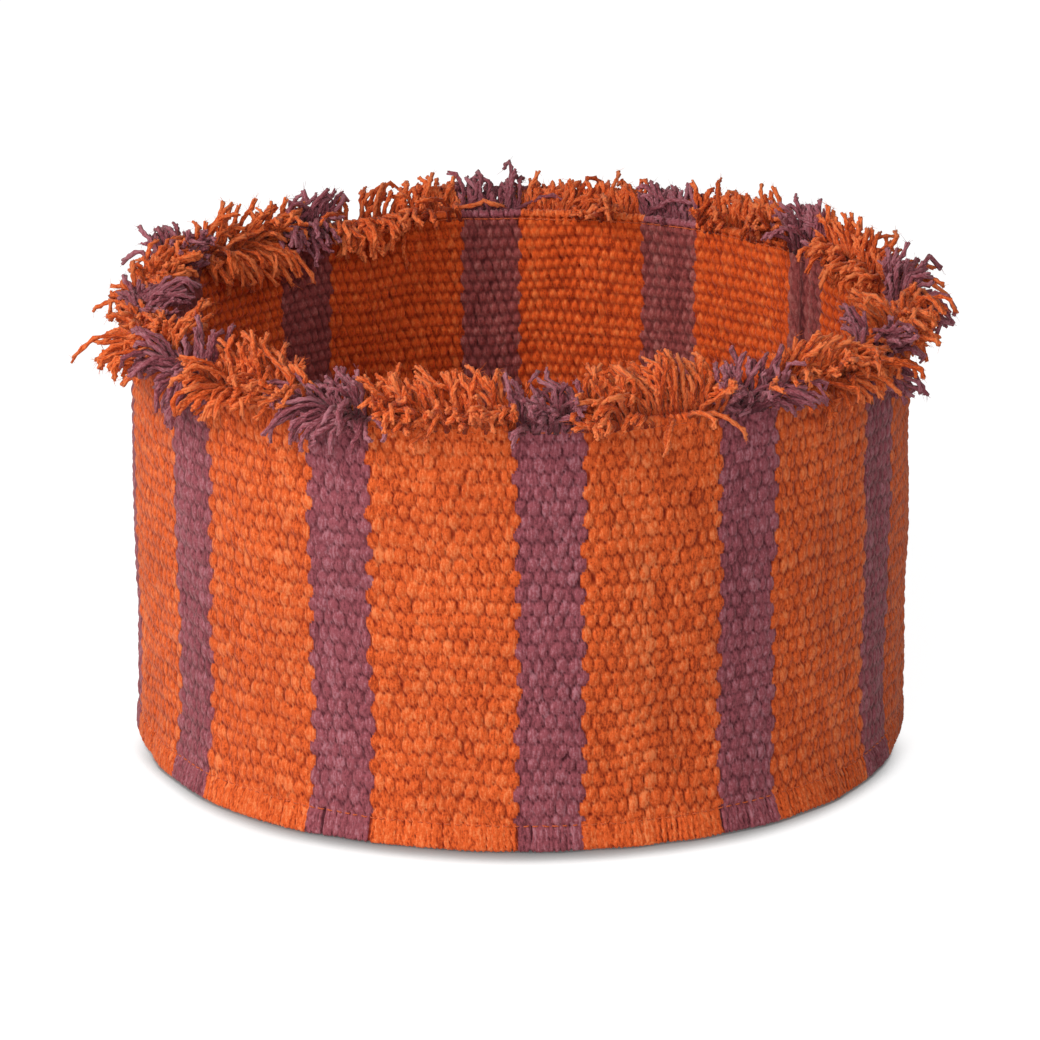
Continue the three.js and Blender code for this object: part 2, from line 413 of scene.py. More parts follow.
def grid(rows: int, columns: int, closed: bool = False) -> np.ndarray:
    """Numbers the corners of a grid's faces, where point (i, k) is number i columns + k.

    Args:
        rows: Points along the grid.
        columns: Points across it.
        closed: Whether the last column meets the first.

    Returns:
        The corners, shaped (rows - 1, faces across, 4).
    """
    i, k = np.meshgrid(np.arange(rows - 1), np.arange(columns if closed else columns - 1), indexing="ij")
    after = (k + 1) % columns
    row, above = i * columns, (i + 1) * columns
    return np.stack([row + k, above + k, above + after, row + after], -1)


class Surface:
    """A mesh gathered from whole arrays: points, faces, a UV map in millimetres and numbers at points."""

    def __init__(self, name: str) -> None:
        """Starts an empty surface with a name."""
        self.name = name
        self.points: list[np.ndarray] = []
        self.faces: list[np.ndarray] = []
        self.runs: list[np.ndarray] = []
        self.numbers: dict[str, list[np.ndarray]] = {}
        self.count = 0

    def add(self, points: np.ndarray, faces: list, runs: list, **numbers: np.ndarray) -> None:
        """Adds points with their faces.

        Args:
            points: Places, in millimetres, one row each.
            faces: Arrays of point numbers, one row a face; each array's rows have one length.
            runs: The UV of each face's corners, in millimetres, shaped as faces with a pair each.
            numbers: A number for each point, by the name that the finish reads.
        """
        self.points.append(points)
        self.faces += [f + self.count for f in faces]
        self.runs += runs
        for name, values in numbers.items():
            self.numbers.setdefault(name, []).append(values)
        self.count += len(points)

    def object(self, material: bpy.types.Material, sharp: np.ndarray | None = None) -> bpy.types.Object:
        """Fills a mesh and links its object, at the origin.

        Args:
            material: The finish.
            sharp: For each point, the number of the flat end that it borders, or -1. An edge between
                two points of one end is kept sharp.

        Returns:
            The object.
        """
        mesh = bpy.data.meshes.new(self.name)
        points = np.concatenate(self.points) * MM
        lengths = np.concatenate([np.full(len(f), f.shape[1], np.int32) for f in self.faces])
        corners = np.concatenate([f.ravel() for f in self.faces]).astype(np.int32)
        mesh.vertices.add(len(points))
        mesh.vertices.foreach_set("co", points.astype(np.float32).ravel())
        mesh.loops.add(len(corners))
        mesh.loops.foreach_set("vertex_index", corners)
        mesh.polygons.add(len(lengths))
        starts = np.concatenate([[0], np.cumsum(lengths)[:-1]]).astype(np.int32)
        mesh.polygons.foreach_set("loop_start", starts)
        mesh.polygons.foreach_set("use_smooth", np.ones(len(lengths), bool))
        mesh.update(calc_edges=True)
        uv = mesh.uv_layers.new(name="cloth")
        runs = np.concatenate([r.reshape(-1, 2) for r in self.runs])
        uv.data.foreach_set("uv", runs.astype(np.float32).ravel())
        for name, values in self.numbers.items():
            layer = mesh.attributes.new(name, "FLOAT", "POINT")
            layer.data.foreach_set("value", np.concatenate(values).astype(np.float32))
        if sharp is not None:
            ends = np.zeros(len(mesh.edges) * 2, np.int32)
            mesh.edges.foreach_get("vertices", ends)
            ends = sharp[ends.reshape(-1, 2)]
            layer = mesh.attributes.new("sharp_edge", "BOOLEAN", "EDGE")
            layer.data.foreach_set("value", (ends[:, 0] >= 0) & (ends[:, 0] == ends[:, 1]))
        mesh.materials.append(material)
        mesh.validate()
        made = bpy.data.objects.new(self.name, mesh)
        bpy.context.scene.collection.objects.link(made)
        return made


def finished(piece: bpy.types.Object, slot: str, *nodes: str) -> bpy.types.Object:
    """Lets a piece stand for its CAD nodes and ride on the basket.

    Args:
        piece: The piece.
        slot: The record's material slot; not used.
        nodes: The CAD nodes that it stands for.

    Returns:
        The piece.
    """
    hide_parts(*nodes)
    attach(piece, "root")
    log.info("%s: %d faces, stands for %s", piece.name, len(piece.data.polygons), ", ".join(nodes))
    return piece


def carried(paths: np.ndarray) -> tuple[np.ndarray, np.ndarray, np.ndarray]:
    """Carries a frame along each path: the last point's side is made square to the new direction.

    Args:
        paths: Points of n paths, shaped (n, steps, 3).

    Returns:
        The direction ahead, the side and the third direction at each point.
    """
    ahead = np.gradient(paths, axis=1)
    ahead /= np.linalg.norm(ahead, axis=2, keepdims=True) + TINY
    start = np.where(np.abs(ahead[:, :1, 2:]) < 0.9, [[[0.0, 0.0, 1.0]]], [[[1.0, 0.0, 0.0]]])[:, 0]
    side = np.empty_like(paths)
    for k in range(paths.shape[1]):
        start = start - (start * ahead[:, k]).sum(1, keepdims=True) * ahead[:, k]
        start = start / (np.linalg.norm(start, axis=1, keepdims=True) + TINY)
        side[:, k] = start
    return ahead, side, np.cross(ahead, side)


def tubes(paths: np.ndarray, radii: np.ndarray, sides: int) -> tuple[np.ndarray, list, list]:
    """Carries a round section along many paths at once and closes both ends.

    A ring's points are path + radius (cos a side + sin a up), and each end has one point more, which
    stands out by a share of the radius.

    Args:
        paths: Points of n paths, shaped (n, steps, 3).
        radii: The radius at each of them, shaped (n, steps).
        sides: How many sides a tube has.

    Returns:
        The points, the faces and the UV of the faces' corners.
    """
    tip_share, uv_shift, fan_width = 0.45, 1.7, 0.4
    count, steps, _ = paths.shape
    ahead, side, up = carried(paths)
    angle = np.linspace(0, TURN, sides, endpoint=False)[None, None, :, None]
    ring = np.cos(angle) * side[:, :, None] + np.sin(angle) * up[:, :, None]
    body = paths[:, :, None] + radii[:, :, None, None] * ring
    tips = paths[:, [0, -1]] + tip_share * radii[:, [0, -1], None] * ahead[:, [0, -1]] * [[[-1], [1]]]
    points = np.concatenate([body.reshape(count, -1, 3), tips], axis=1)
    k, a = np.meshgrid(np.arange(steps - 1), np.arange(sides), indexing="ij")
    b = (a + 1) % sides
    quads = np.stack([k * sides + a, k * sides + b, (k + 1) * sides + b, (k + 1) * sides + a], -1)
    a, b = np.arange(sides), (np.arange(sides) + 1) % sides
    foot = np.stack([b, a, np.full(sides, steps * sides)], -1)
    top = np.stack([a, b, np.full(sides, steps * sides + 1)], -1)
    top[:, :2] += (steps - 1) * sides
    first = np.arange(count)[:, None, None] * points.shape[1]
    quads = (quads.reshape(1, -1, 4) + first).reshape(-1, 4)
    fans = (np.concatenate([foot, top])[None] + first).reshape(-1, 3)
    step = np.linalg.norm(np.diff(paths, axis=1), axis=2)
    along = np.concatenate([np.zeros((count, 1)), np.cumsum(step, axis=1)], axis=1)[..., None]
    around = np.linspace(0, 1, sides + 1)[None, :] * TURN * radii.mean(axis=1)[:, None]
    shift = np.arange(count)[:, None, None] * uv_shift
    around = around[:, None] + shift
    u0, u1, v0, v1 = np.broadcast_arrays(around[..., :-1], around[..., 1:], along[:, :-1], along[:, 1:])
    quad_runs = np.stack([u0, v0, u1, v0, u1, v1, u0, v1], -1).reshape(-1, 4, 2)
    fan_u = np.tile(np.arange(3)[None] * fan_width, (len(fans), 1))
    fan_runs = np.stack([fan_u, fan_u * 0.5 + np.repeat(shift.ravel(), 2 * sides)[:, None]], -1)
    return points.reshape(-1, 3), [quads, fans], [quad_runs, fan_runs]


class Waves:
    """A smooth, seeded unevenness over the wall, which meets itself after a full turn."""

    def __init__(self, seed: int, size: float, around: tuple[int, int], tall: float, count: int) -> None:
        """Draws the waves.

        Args:
            seed: The seed of the draws.
            size: The unevenness's usual size.
            around: The fewest and most waves in a full turn.
            tall: The shortest wave up the wall, in millimetres.
            count: How many waves are added up.
        """
        draw = np.random.default_rng(seed)
        self.turns = draw.integers(around[0], around[1] + 1, count)
        self.climb = draw.uniform(-1, 1, count) * TURN / tall
        self.phase = draw.uniform(0, TURN, count)
        self.size = size * math.sqrt(2 / count)

    def at(self, angle: np.ndarray, height: np.ndarray) -> np.ndarray:
        """The sum of size cos(turns angle + climb height + phase) over the waves."""
        total = np.zeros(np.broadcast(angle, height).shape)
        for turns, climb, phase in zip(self.turns, self.climb, self.phase):
            total += np.cos(turns * angle + climb * height + phase)
        return self.size * total


@dataclass(frozen=True)
class Sizes:
    """The basket's own sizes, in millimetres, as the CAD source has them."""

    wall_radius: float = 125.0
    inner_radius: float = 120.0
    hem_radius: float = 116.5
    wall_height: float = 137.4
    repeats: int = 12
    plum_width: float = 20.5
    first_shift: float = 9.8
    stripe_shifts: tuple = (0.8, 0.8, 2.2, 2.2, 7.9, 3.0, 1.6, 6.5, 4.4, 2.2, 0.7, -0.9)
    seam_stripe: int = 5
    seam_stripe_width: float = 16.5
    seam_shift: float = 2.5
    hem_height: float = 13.0
    hem_stitch: float = 8.0
    rim_stitch: float = 134.5
    floor_rounding: float = 1.8
    base_radius: float = 116.0
    base_thickness: float = 5.0

    @property
    def core_radius(self) -> float:
        """The middle of the cloth's thickness."""
        return (self.wall_radius + self.inner_radius) / 2

    @property
    def stripes(self) -> list[tuple[int, Dye]]:
        """Every stripe's number and dye, in order round the basket."""
        return [(number, dye) for number in range(1, self.repeats + 1) for dye in Dye]

    @property
    def repeat_angle(self) -> float:
        """The angle of one plum stripe and one orange one."""
        return TURN / self.repeats

    def middle(self, number: int) -> float:
        """The middle of a plum stripe, past its even place by its own shift."""
        shift = self.first_shift + self.stripe_shifts[number - 1]
        return (number - 1) * self.repeat_angle + shift / self.wall_radius

    def span(self, dye: Dye, number: int) -> tuple[float, float]:
        """Where a stripe starts and ends.

        Args:
            dye: Its colour.
            number: Its number, from 1.

        Returns:
            The two angles.
        """
        if dye is Dye.ORANGE:
            after = self.span(Dye.PLUM, number % self.repeats + 1)[0]
            return self.span(Dye.PLUM, number)[1], after + (TURN if number == self.repeats else 0)
        width = self.seam_stripe_width if number == self.seam_stripe else self.plum_width
        half = width / self.wall_radius / 2
        return self.middle(number) - half, self.middle(number) + half

    @property
    def seam_angle(self) -> float:
        """Where the two ends of the cloth meet."""
        return self.middle(self.seam_stripe) + self.seam_shift / self.wall_radius

    def place(self, radius: np.ndarray, angle: np.ndarray, height: np.ndarray) -> np.ndarray:
        """The point (radius sin angle, -radius cos angle, height)."""
        return np.stack(np.broadcast_arrays(radius * np.sin(angle), -radius * np.cos(angle), height), -1)


@dataclass(frozen=True)
class Relief:
    """What the cloth's surface has at a place: how far it stands, and what its finish reads."""

    height: np.ndarray
    plum: np.ndarray
    tint: np.ndarray
    depth: np.ndarray


@dataclass
class Weave:
    """The warp-faced weave of one face: yarns side by side, each over one weft and under the next.

    A yarn's crown at a height z is swing cos(pi (z / pitch + its number)), and its section is the
    half ellipse crown sqrt(1 - (across / half width)^2). The surface is the highest yarn, so each
    float shows as an almond, and the next row's almonds sit between them. The rows can stand as
    ridges, and a float can taper upwards. Where two yarns meet, at heights d apart, a crease
    exp(-d / its width) is cut. In the hem they run straight, as twisted ribs.
    """

    sizes: Sizes
    face: Face
    seed: int
    column_width: float = 1.85
    row_pitch: float = 4.62
    swing: float = 0.50
    crown: float = 0.80
    half_width: float = 1.79
    ridge: float = 0.0
    taper: float = 0.0
    reach: int = 2
    deepest: float = -0.25
    highest: float = 0.15
    shade: float = 0.86
    row_shade: float = 0.0
    crease_width: float = 0.11
    crease_depth: float = 0.07
    crease_shade: float = 0.34
    rib_width: float = 1.06
    rib_shift: float = 0.9
    twist_pitch: float = 2.9
    twist_slant: float = 0.9
    twist_height: float = 0.23
    unevenness: float = 1.05
    shift_spread: float = 0.12
    lift_spread: float = 0.50
    tilt_mean: float = 0.05
    tilt_spread: float = 0.10
    width_spread: float = 0.08
    height_spread: float = 0.10
    blunt: float = 0.75
    blunt_woven: float = 0.25
    tint_spread: float = 0.7
    sway_size: float = 0.34
    heave_size: float = 0.50
    beat_size: float = 0.28
    spare_rows: int = 8

    def __post_init__(self) -> None:
        """Counts the yarns of each stripe and draws each float's own unevenness."""
        edges, counts, dyes = [], [], []
        for number, dye in self.sizes.stripes:
            start, end = self.sizes.span(dye, number)
            edges.append(start)
            counts.append(max(2, round((end - start) * self.sizes.wall_radius / self.column_width)))
            dyes.append(dye is Dye.PLUM)
        counts[-1] += sum(counts) % 2
        self.first = edges[0]
        self.edges = np.array(edges + [edges[0] + TURN])
        self.starts = np.concatenate([[0], np.cumsum(counts)])
        self.columns = int(self.starts[-1])
        self.is_plum = np.repeat(dyes, counts).astype(float)
        self.rows = int(self.sizes.wall_height / self.row_pitch) + self.spare_rows
        draw = np.random.default_rng(self.seed)
        shape, uneven = (self.columns, self.rows), self.unevenness
        self.shift = draw.normal(0, self.shift_spread * uneven, shape)
        self.lift = draw.normal(0, self.lift_spread * uneven, shape)
        self.tilt = draw.normal(self.tilt_mean, self.tilt_spread * uneven, shape)
        self.wide = draw.normal(1.0, self.width_spread, shape)
        self.high = draw.normal(0, self.height_spread, shape)
        each, whole = draw.normal(0, 1, shape), draw.normal(0, 1, (self.columns, 1))
        self.tints = self.tint_spread * each + self.tint_spread * whole
        self.sway = Waves(self.seed + 10, self.sway_size * uneven, (4, 60), tall=26.0, count=24)
        self.heave = Waves(self.seed + 11, self.heave_size * uneven, (2, 26), tall=45.0, count=20)
        self.beat = Waves(self.seed + 12, self.beat_size, (0, 0), tall=13.0, count=10)

    def column_at(self, angle: np.ndarray) -> np.ndarray:
        """Counts columns from the first plum stripe's start, as a number with a fraction.

        The count runs straight between the edges of the stripes.

        Args:
            angle: Angles round the basket.

        Returns:
            The count at each angle.
        """
        return np.interp(self.first + np.mod(angle - self.first, TURN), self.edges, self.starts)

    def relief(self, angle: np.ndarray, height: np.ndarray, woven: np.ndarray) -> Relief:
        """Works out the surface where the yarns lie.

        Args:
            angle: Angles round the basket, as a column.
            height: Heights up the cloth, as a row.
            woven: From 0, where the yarns run straight as ribs, to 1, where they weave.

        Returns:
            The relief, shaped (angles, heights); its height is 0 on the highest crown and less beside it.
        """
        width, pitch = self.column_width, self.row_pitch
        narrow = self.rib_width + (self.half_width - self.rib_width) * woven
        where = self.column_at(angle) + self.sway.at(angle, height) / width
        row = (height + self.heave.at(angle, height) + self.beat.at(angle * 0, height)) / pitch
        best = np.full(row.shape, BURIED)
        second = best.copy()
        straight = 1 - woven
        tint = np.zeros(row.shape)
        middle = np.floor(where)
        plum = self.is_plum[np.mod(middle, self.columns).astype(int)]
        for offset in range(-self.reach, self.reach + 1):
            column = middle + offset
            odd = np.mod(column + self.face.value, 2)
            up = 2 * np.round((row - odd) / 2) + odd
            number = np.mod(column, self.columns).astype(int)
            line = np.clip(up, 0, self.rows - 1).astype(int)
            apart = (row - up) * pitch
            shift = self.shift[number, line] * woven + self.rib_shift * self.shift[number, 0] * straight
            across = (where - column - 0.5) * width - shift
            across = across - self.tilt[number, line] * apart * woven
            wide = self.wide[number, line] * woven + (2 * self.wide[number, 0] - 1) * straight
            wide = wide * (1 - self.taper * np.clip(2 * apart / pitch, -0.5, 1) * woven)
            across = across / (narrow * wide)
            section = np.clip(1 - across * across, 0, 1) ** (self.blunt - self.blunt_woven * woven)
            swing = (self.swing + self.high[number, line]) * woven
            wave = swing * np.cos(math.pi * (apart - self.lift[number, line] * 0.5) / pitch)
            turns = height / self.twist_pitch + self.twist_slant * across + self.shift[number, 0] * 4
            wave = wave + straight * (self.twist_height * np.cos(TURN * turns) + self.high[number, 0])
            top = np.where(np.abs(across) < 1, wave + self.crown * section, BURIED)
            won = top > best
            second = np.maximum(second, np.minimum(best, top))
            best = np.where(won, top, best)
            plum = np.where(won, self.is_plum[number], plum)
            tint = np.where(won, self.tints[number, line], tint)
        best = np.maximum(best, self.deepest)
        crease = np.exp(-np.maximum(best - second, 0) / self.crease_width)
        valley = (1 - np.cos(TURN * row)) / 2 * woven
        best = best - self.crease_depth * crease - self.ridge * valley
        full = self.crown + self.swing * woven
        # Painted shade: more the further the cloth lies below the highest crown, more in the hem's ribs, and
        # between rows and in the creases where yarns meet.
        depth = self.shade * (full - best) / (self.crown + self.swing) * (1.5 - 0.5 * woven)
        depth = depth + self.row_shade * valley + self.crease_shade * crease
        return Relief(np.minimum(best, full + self.highest) - full, plum, tint, np.clip(depth, 0, 1))


@dataclass
class Wall:
    """The wall's cloth: one closed piece for each stripe, and two for the stripe with the side seam.

    A piece is a section carried round the basket: up the outside, over the top edge, down the inside,
    down the turned-in hem and back under it, with the weave's relief along the section's normal.
    """

    sizes: Sizes
    outer: Weave
    inner: Weave
    sample: float = 0.49
    outside_step: float = 0.86
    inside_step: float = 0.90
    top_rounding: float = 2.4
    hem_rounding: float = 1.2
    weave_start: float = 1.4
    groove_depth: float = 0.75
    groove_width: float = 0.95
    rim_groove_share: float = 0.5
    flare: float = 0.6
    flare_ends: float = 2.2
    flare_corners: float = 3.0
    flare_height: float = 9.0
    belly: float = 0.9
    belly_height: float = 45.0
    waist: float = 0.7
    waist_height: float = 38.0
    waist_spread: float = 26.0
    slack: float = 0.65
    slack_width: float = 6.5
    pull: float = 0.9
    pull_width: float = 1.4
    fold: float = 0.75
    fold_width: float = 6.0
    fold_turn: float = 1.15
    seam_shade: float = 0.5
    seam_shade_width: float = 1.7

    def __post_init__(self) -> None:
        """Works out the plain section and the wall's slow unevenness."""
        self.dents = Waves(41, 0.42, (2, 9), tall=160.0, count=10)
        self.ripples = Waves(42, 0.22, (8, 40), tall=40.0, count=18)
        self.section()

    def section(self) -> None:
        """Lists the section's places, normals, heights up the cloth, faces and how woven each is.

        Each part gives its radii, heights, the normal out and up, and whether it is on the inside.
        """
        s, e, h, f = self.sizes, self.top_rounding, self.hem_rounding, self.sizes.floor_rounding
        arc = np.linspace(0, math.pi / 2, 6)
        up = np.arange(f, s.wall_height - e, self.outside_step)[1:]
        over = np.linspace(0, math.pi, 10)[1:-1]
        down = np.arange(s.wall_height - e, s.hem_height, -self.inside_step)
        ledge = 1 - arc[1::2] / arc[-1]
        hem = np.linspace(s.hem_height - h, 1.0, 11)
        flat = np.linspace(s.hem_radius + 1, s.wall_radius - f, 5)[:-1]
        half = (s.wall_radius - s.inner_radius) / 2
        parts = [
            (s.wall_radius - f + f * np.sin(arc), f - f * np.cos(arc), np.sin(arc), -np.cos(arc), False),
            (s.wall_radius, up, 1, 0, False),
            (
                s.core_radius + half * np.cos(over), s.wall_height - e + e * np.sin(over),
                np.cos(over), np.sin(over), False,
            ),
            (s.inner_radius, down, -1, 0, True),
            (s.hem_radius + h + (s.inner_radius - s.hem_radius - h) * ledge, s.hem_height, 0, 1, True),
            (s.hem_radius, hem, -1, 0, True),
            (np.array([s.hem_radius + 0.35]), 0.3, -0.7, -0.7, True),
            (flat, 0, 0, -1, True),
        ]
        columns = zip(*(np.broadcast_arrays(*part) for part in parts))
        self.radius, self.height, self.out, self.rise, self.inside = map(np.concatenate, columns)
        upright = np.abs(self.rise) < 0.3
        bottom = np.where(self.inside, s.hem_height + 0.6, s.hem_stitch + 0.1)
        self.woven = smooth(0, 1, (self.height - bottom) / self.weave_start) * upright
        rises = np.diff(self.height, append=self.height[0])
        step = np.hypot(np.diff(self.radius, append=self.radius[0]), rises)
        self.run = np.concatenate([[0], np.cumsum(step)])

    def form(self, angle: np.ndarray, height: np.ndarray) -> np.ndarray:
        """How far the wall stands outside its nominal radius: a slight flare to the floor, with dents.

        The flare is (all round + at the ends cos^2 a + at the corners sin^2 2a) exp(-height / its
        height), the belly stands out on the right, and the waist is a bell all round.

        Args:
            angle: Angles round the basket.
            height: Heights up the wall.

        Returns:
            The distance at each place.
        """
        share = np.clip(height / self.sizes.wall_height, 0, 1)
        front = smooth(-0.1, 0.4, np.cos(angle)) * 0.7 + 0.3
        flare = self.flare + self.flare_ends * np.cos(angle) ** 2
        flare = flare + self.flare_corners * front * np.sin(2 * angle) ** 2
        flare = flare * np.exp(-height / self.flare_height)
        right = np.clip(np.sin(angle), 0, 1)
        flare = flare + self.belly * right * bell(height - self.belly_height, self.belly_height)
        waist = self.waist * bell(height - self.waist_height, self.waist_spread)
        dents = self.dents.at(angle, height) * (0.35 + 0.65 * np.sin(math.pi * share))
        return flare - waist + dents + self.ripples.at(angle, height)

    def surface(self, angle: np.ndarray) -> tuple[np.ndarray, dict[str, np.ndarray]]:
        """Works out the wall's points over the angles and the whole section.

        Args:
            angle: The angles, as a flat array.

        Returns:
            The points, shaped (angles, section, 3), and the numbers that the finish reads.
        """
        s, turn, height = self.sizes, angle[:, None], self.height[None]
        seam = (np.mod(turn - s.seam_angle + math.pi, TURN) - math.pi) * s.wall_radius
        inside = self.inside[None]
        slack = self.slack * bell(seam, self.slack_width) * inside
        outer = self.outer.relief(turn, height, self.woven[None] + 0 * turn)
        inner = self.inner.relief(turn, height, self.woven[None] * (1 - slack))
        bulge = np.where(inside, inner.height, outer.height)
        under = smooth(0.9, 0.2, np.abs(self.out))[None] * (self.height < 60)[None]
        bulge = bulge * (1 - 0.35 * under)
        for line, share in ((s.hem_stitch, 1.0), (s.rim_stitch, self.rim_groove_share)):
            wander = 0.25 * np.sin(9 * turn + line)
            groove = bell(height - line - wander, self.groove_width)
            bulge = bulge - share * self.groove_depth * groove * (np.abs(self.out) > 0.5)[None]
        fold = np.cos(seam * self.fold_turn + 0.8 * np.sin(height / 17))
        fold = fold * bell(seam, self.fold_width) * inside
        bulge = bulge - self.pull * bell(seam, self.pull_width) + self.fold * fold
        radius = self.radius[None] + self.form(turn, height) + self.out[None] * bulge
        points = s.place(radius, turn, height + self.rise[None] * bulge)
        points[..., 2] = np.maximum(points[..., 2], 0)
        # Painted shade from the weave, and along the side seam's fold.
        depth = np.where(inside, inner.depth, outer.depth)
        numbers = {
            "plum": np.where(inside, inner.plum, outer.plum),
            "tint": np.where(inside, inner.tint, outer.tint),
            "depth": np.clip(depth + self.seam_shade * bell(seam, self.seam_shade_width), 0, 1),
            "inside": inside + 0 * turn,
        }
        return points, numbers

    def piece(self, name: str, start: float, end: float, material: bpy.types.Material) -> bpy.types.Object:
        """Makes the closed piece of wall between two angles.

        Args:
            name: The piece's name.
            start: Where it starts.
            end: Where it ends.
            material: The finish.

        Returns:
            The piece.
        """
        count = max(2, round((end - start) * self.sizes.wall_radius / self.sample)) + 1
        angle = np.linspace(start, end, count)
        points, numbers = self.surface(angle)
        rows = len(self.radius)
        i, k = np.meshgrid(np.arange(count - 1), np.arange(rows), indexing="ij")
        across, run = angle * self.sizes.wall_radius, self.run
        corners = [across[i], run[k], across[i + 1], run[k], across[i + 1], run[k + 1], across[i], run[k + 1]]
        first = np.arange(rows)[None]
        last = first[:, ::-1] + (count - 1) * rows
        cap = np.stack([self.radius, self.height], -1)
        made = Surface(name)
        made.add(
            points.reshape(-1, 3),
            [grid(count, rows, closed=True).reshape(-1, 4)[:, ::-1], first, last],
            [np.stack(corners, -1).reshape(-1, 4, 2)[:, ::-1], cap[None], cap[None, ::-1]],
            **{n: v.ravel() for n, v in numbers.items()},
        )
        ends = np.full(count * rows, -1)
        ends[:rows], ends[-rows:] = 0, 1
        return made.object(material, ends)

    def build(self, finishes: dict[Dye, bpy.types.Material]) -> dict[str, bpy.types.Object]:
        """Makes every stripe of the wall.

        Args:
            finishes: The finish of each dye.

        Returns:
            The pieces, by the name of the CAD node that each stands for.
        """
        s, made = self.sizes, {}
        for number, dye in s.stripes:
            start, end = s.span(dye, number)
            label = node_name(dye, "stripe", number)
            jobs = [(label, start, end)]
            if dye is Dye.PLUM and number == s.seam_stripe:
                jobs = [
                    (label + "_cloth_end", start, s.seam_angle),
                    (label + "_cloth_start", s.seam_angle, end),
                ]
            for node, low, high in jobs:
                piece = self.piece("woven_" + node, low, high, finishes[dye])
                made[node] = finished(piece, dye.value, node)
        return made


class Lock(NamedTuple):
    """Some yarns of a tuft that lie together, and where their tips are from their roots.

    place runs from -1 to 1 across the stripe. The tip is out from the basket's middle, to the side
    that the angles run to, and up, in millimetres. share is how many of the tuft's yarns it takes.
    """

    place: float
    out: float
    side: float
    rise: float
    share: float = 1.0


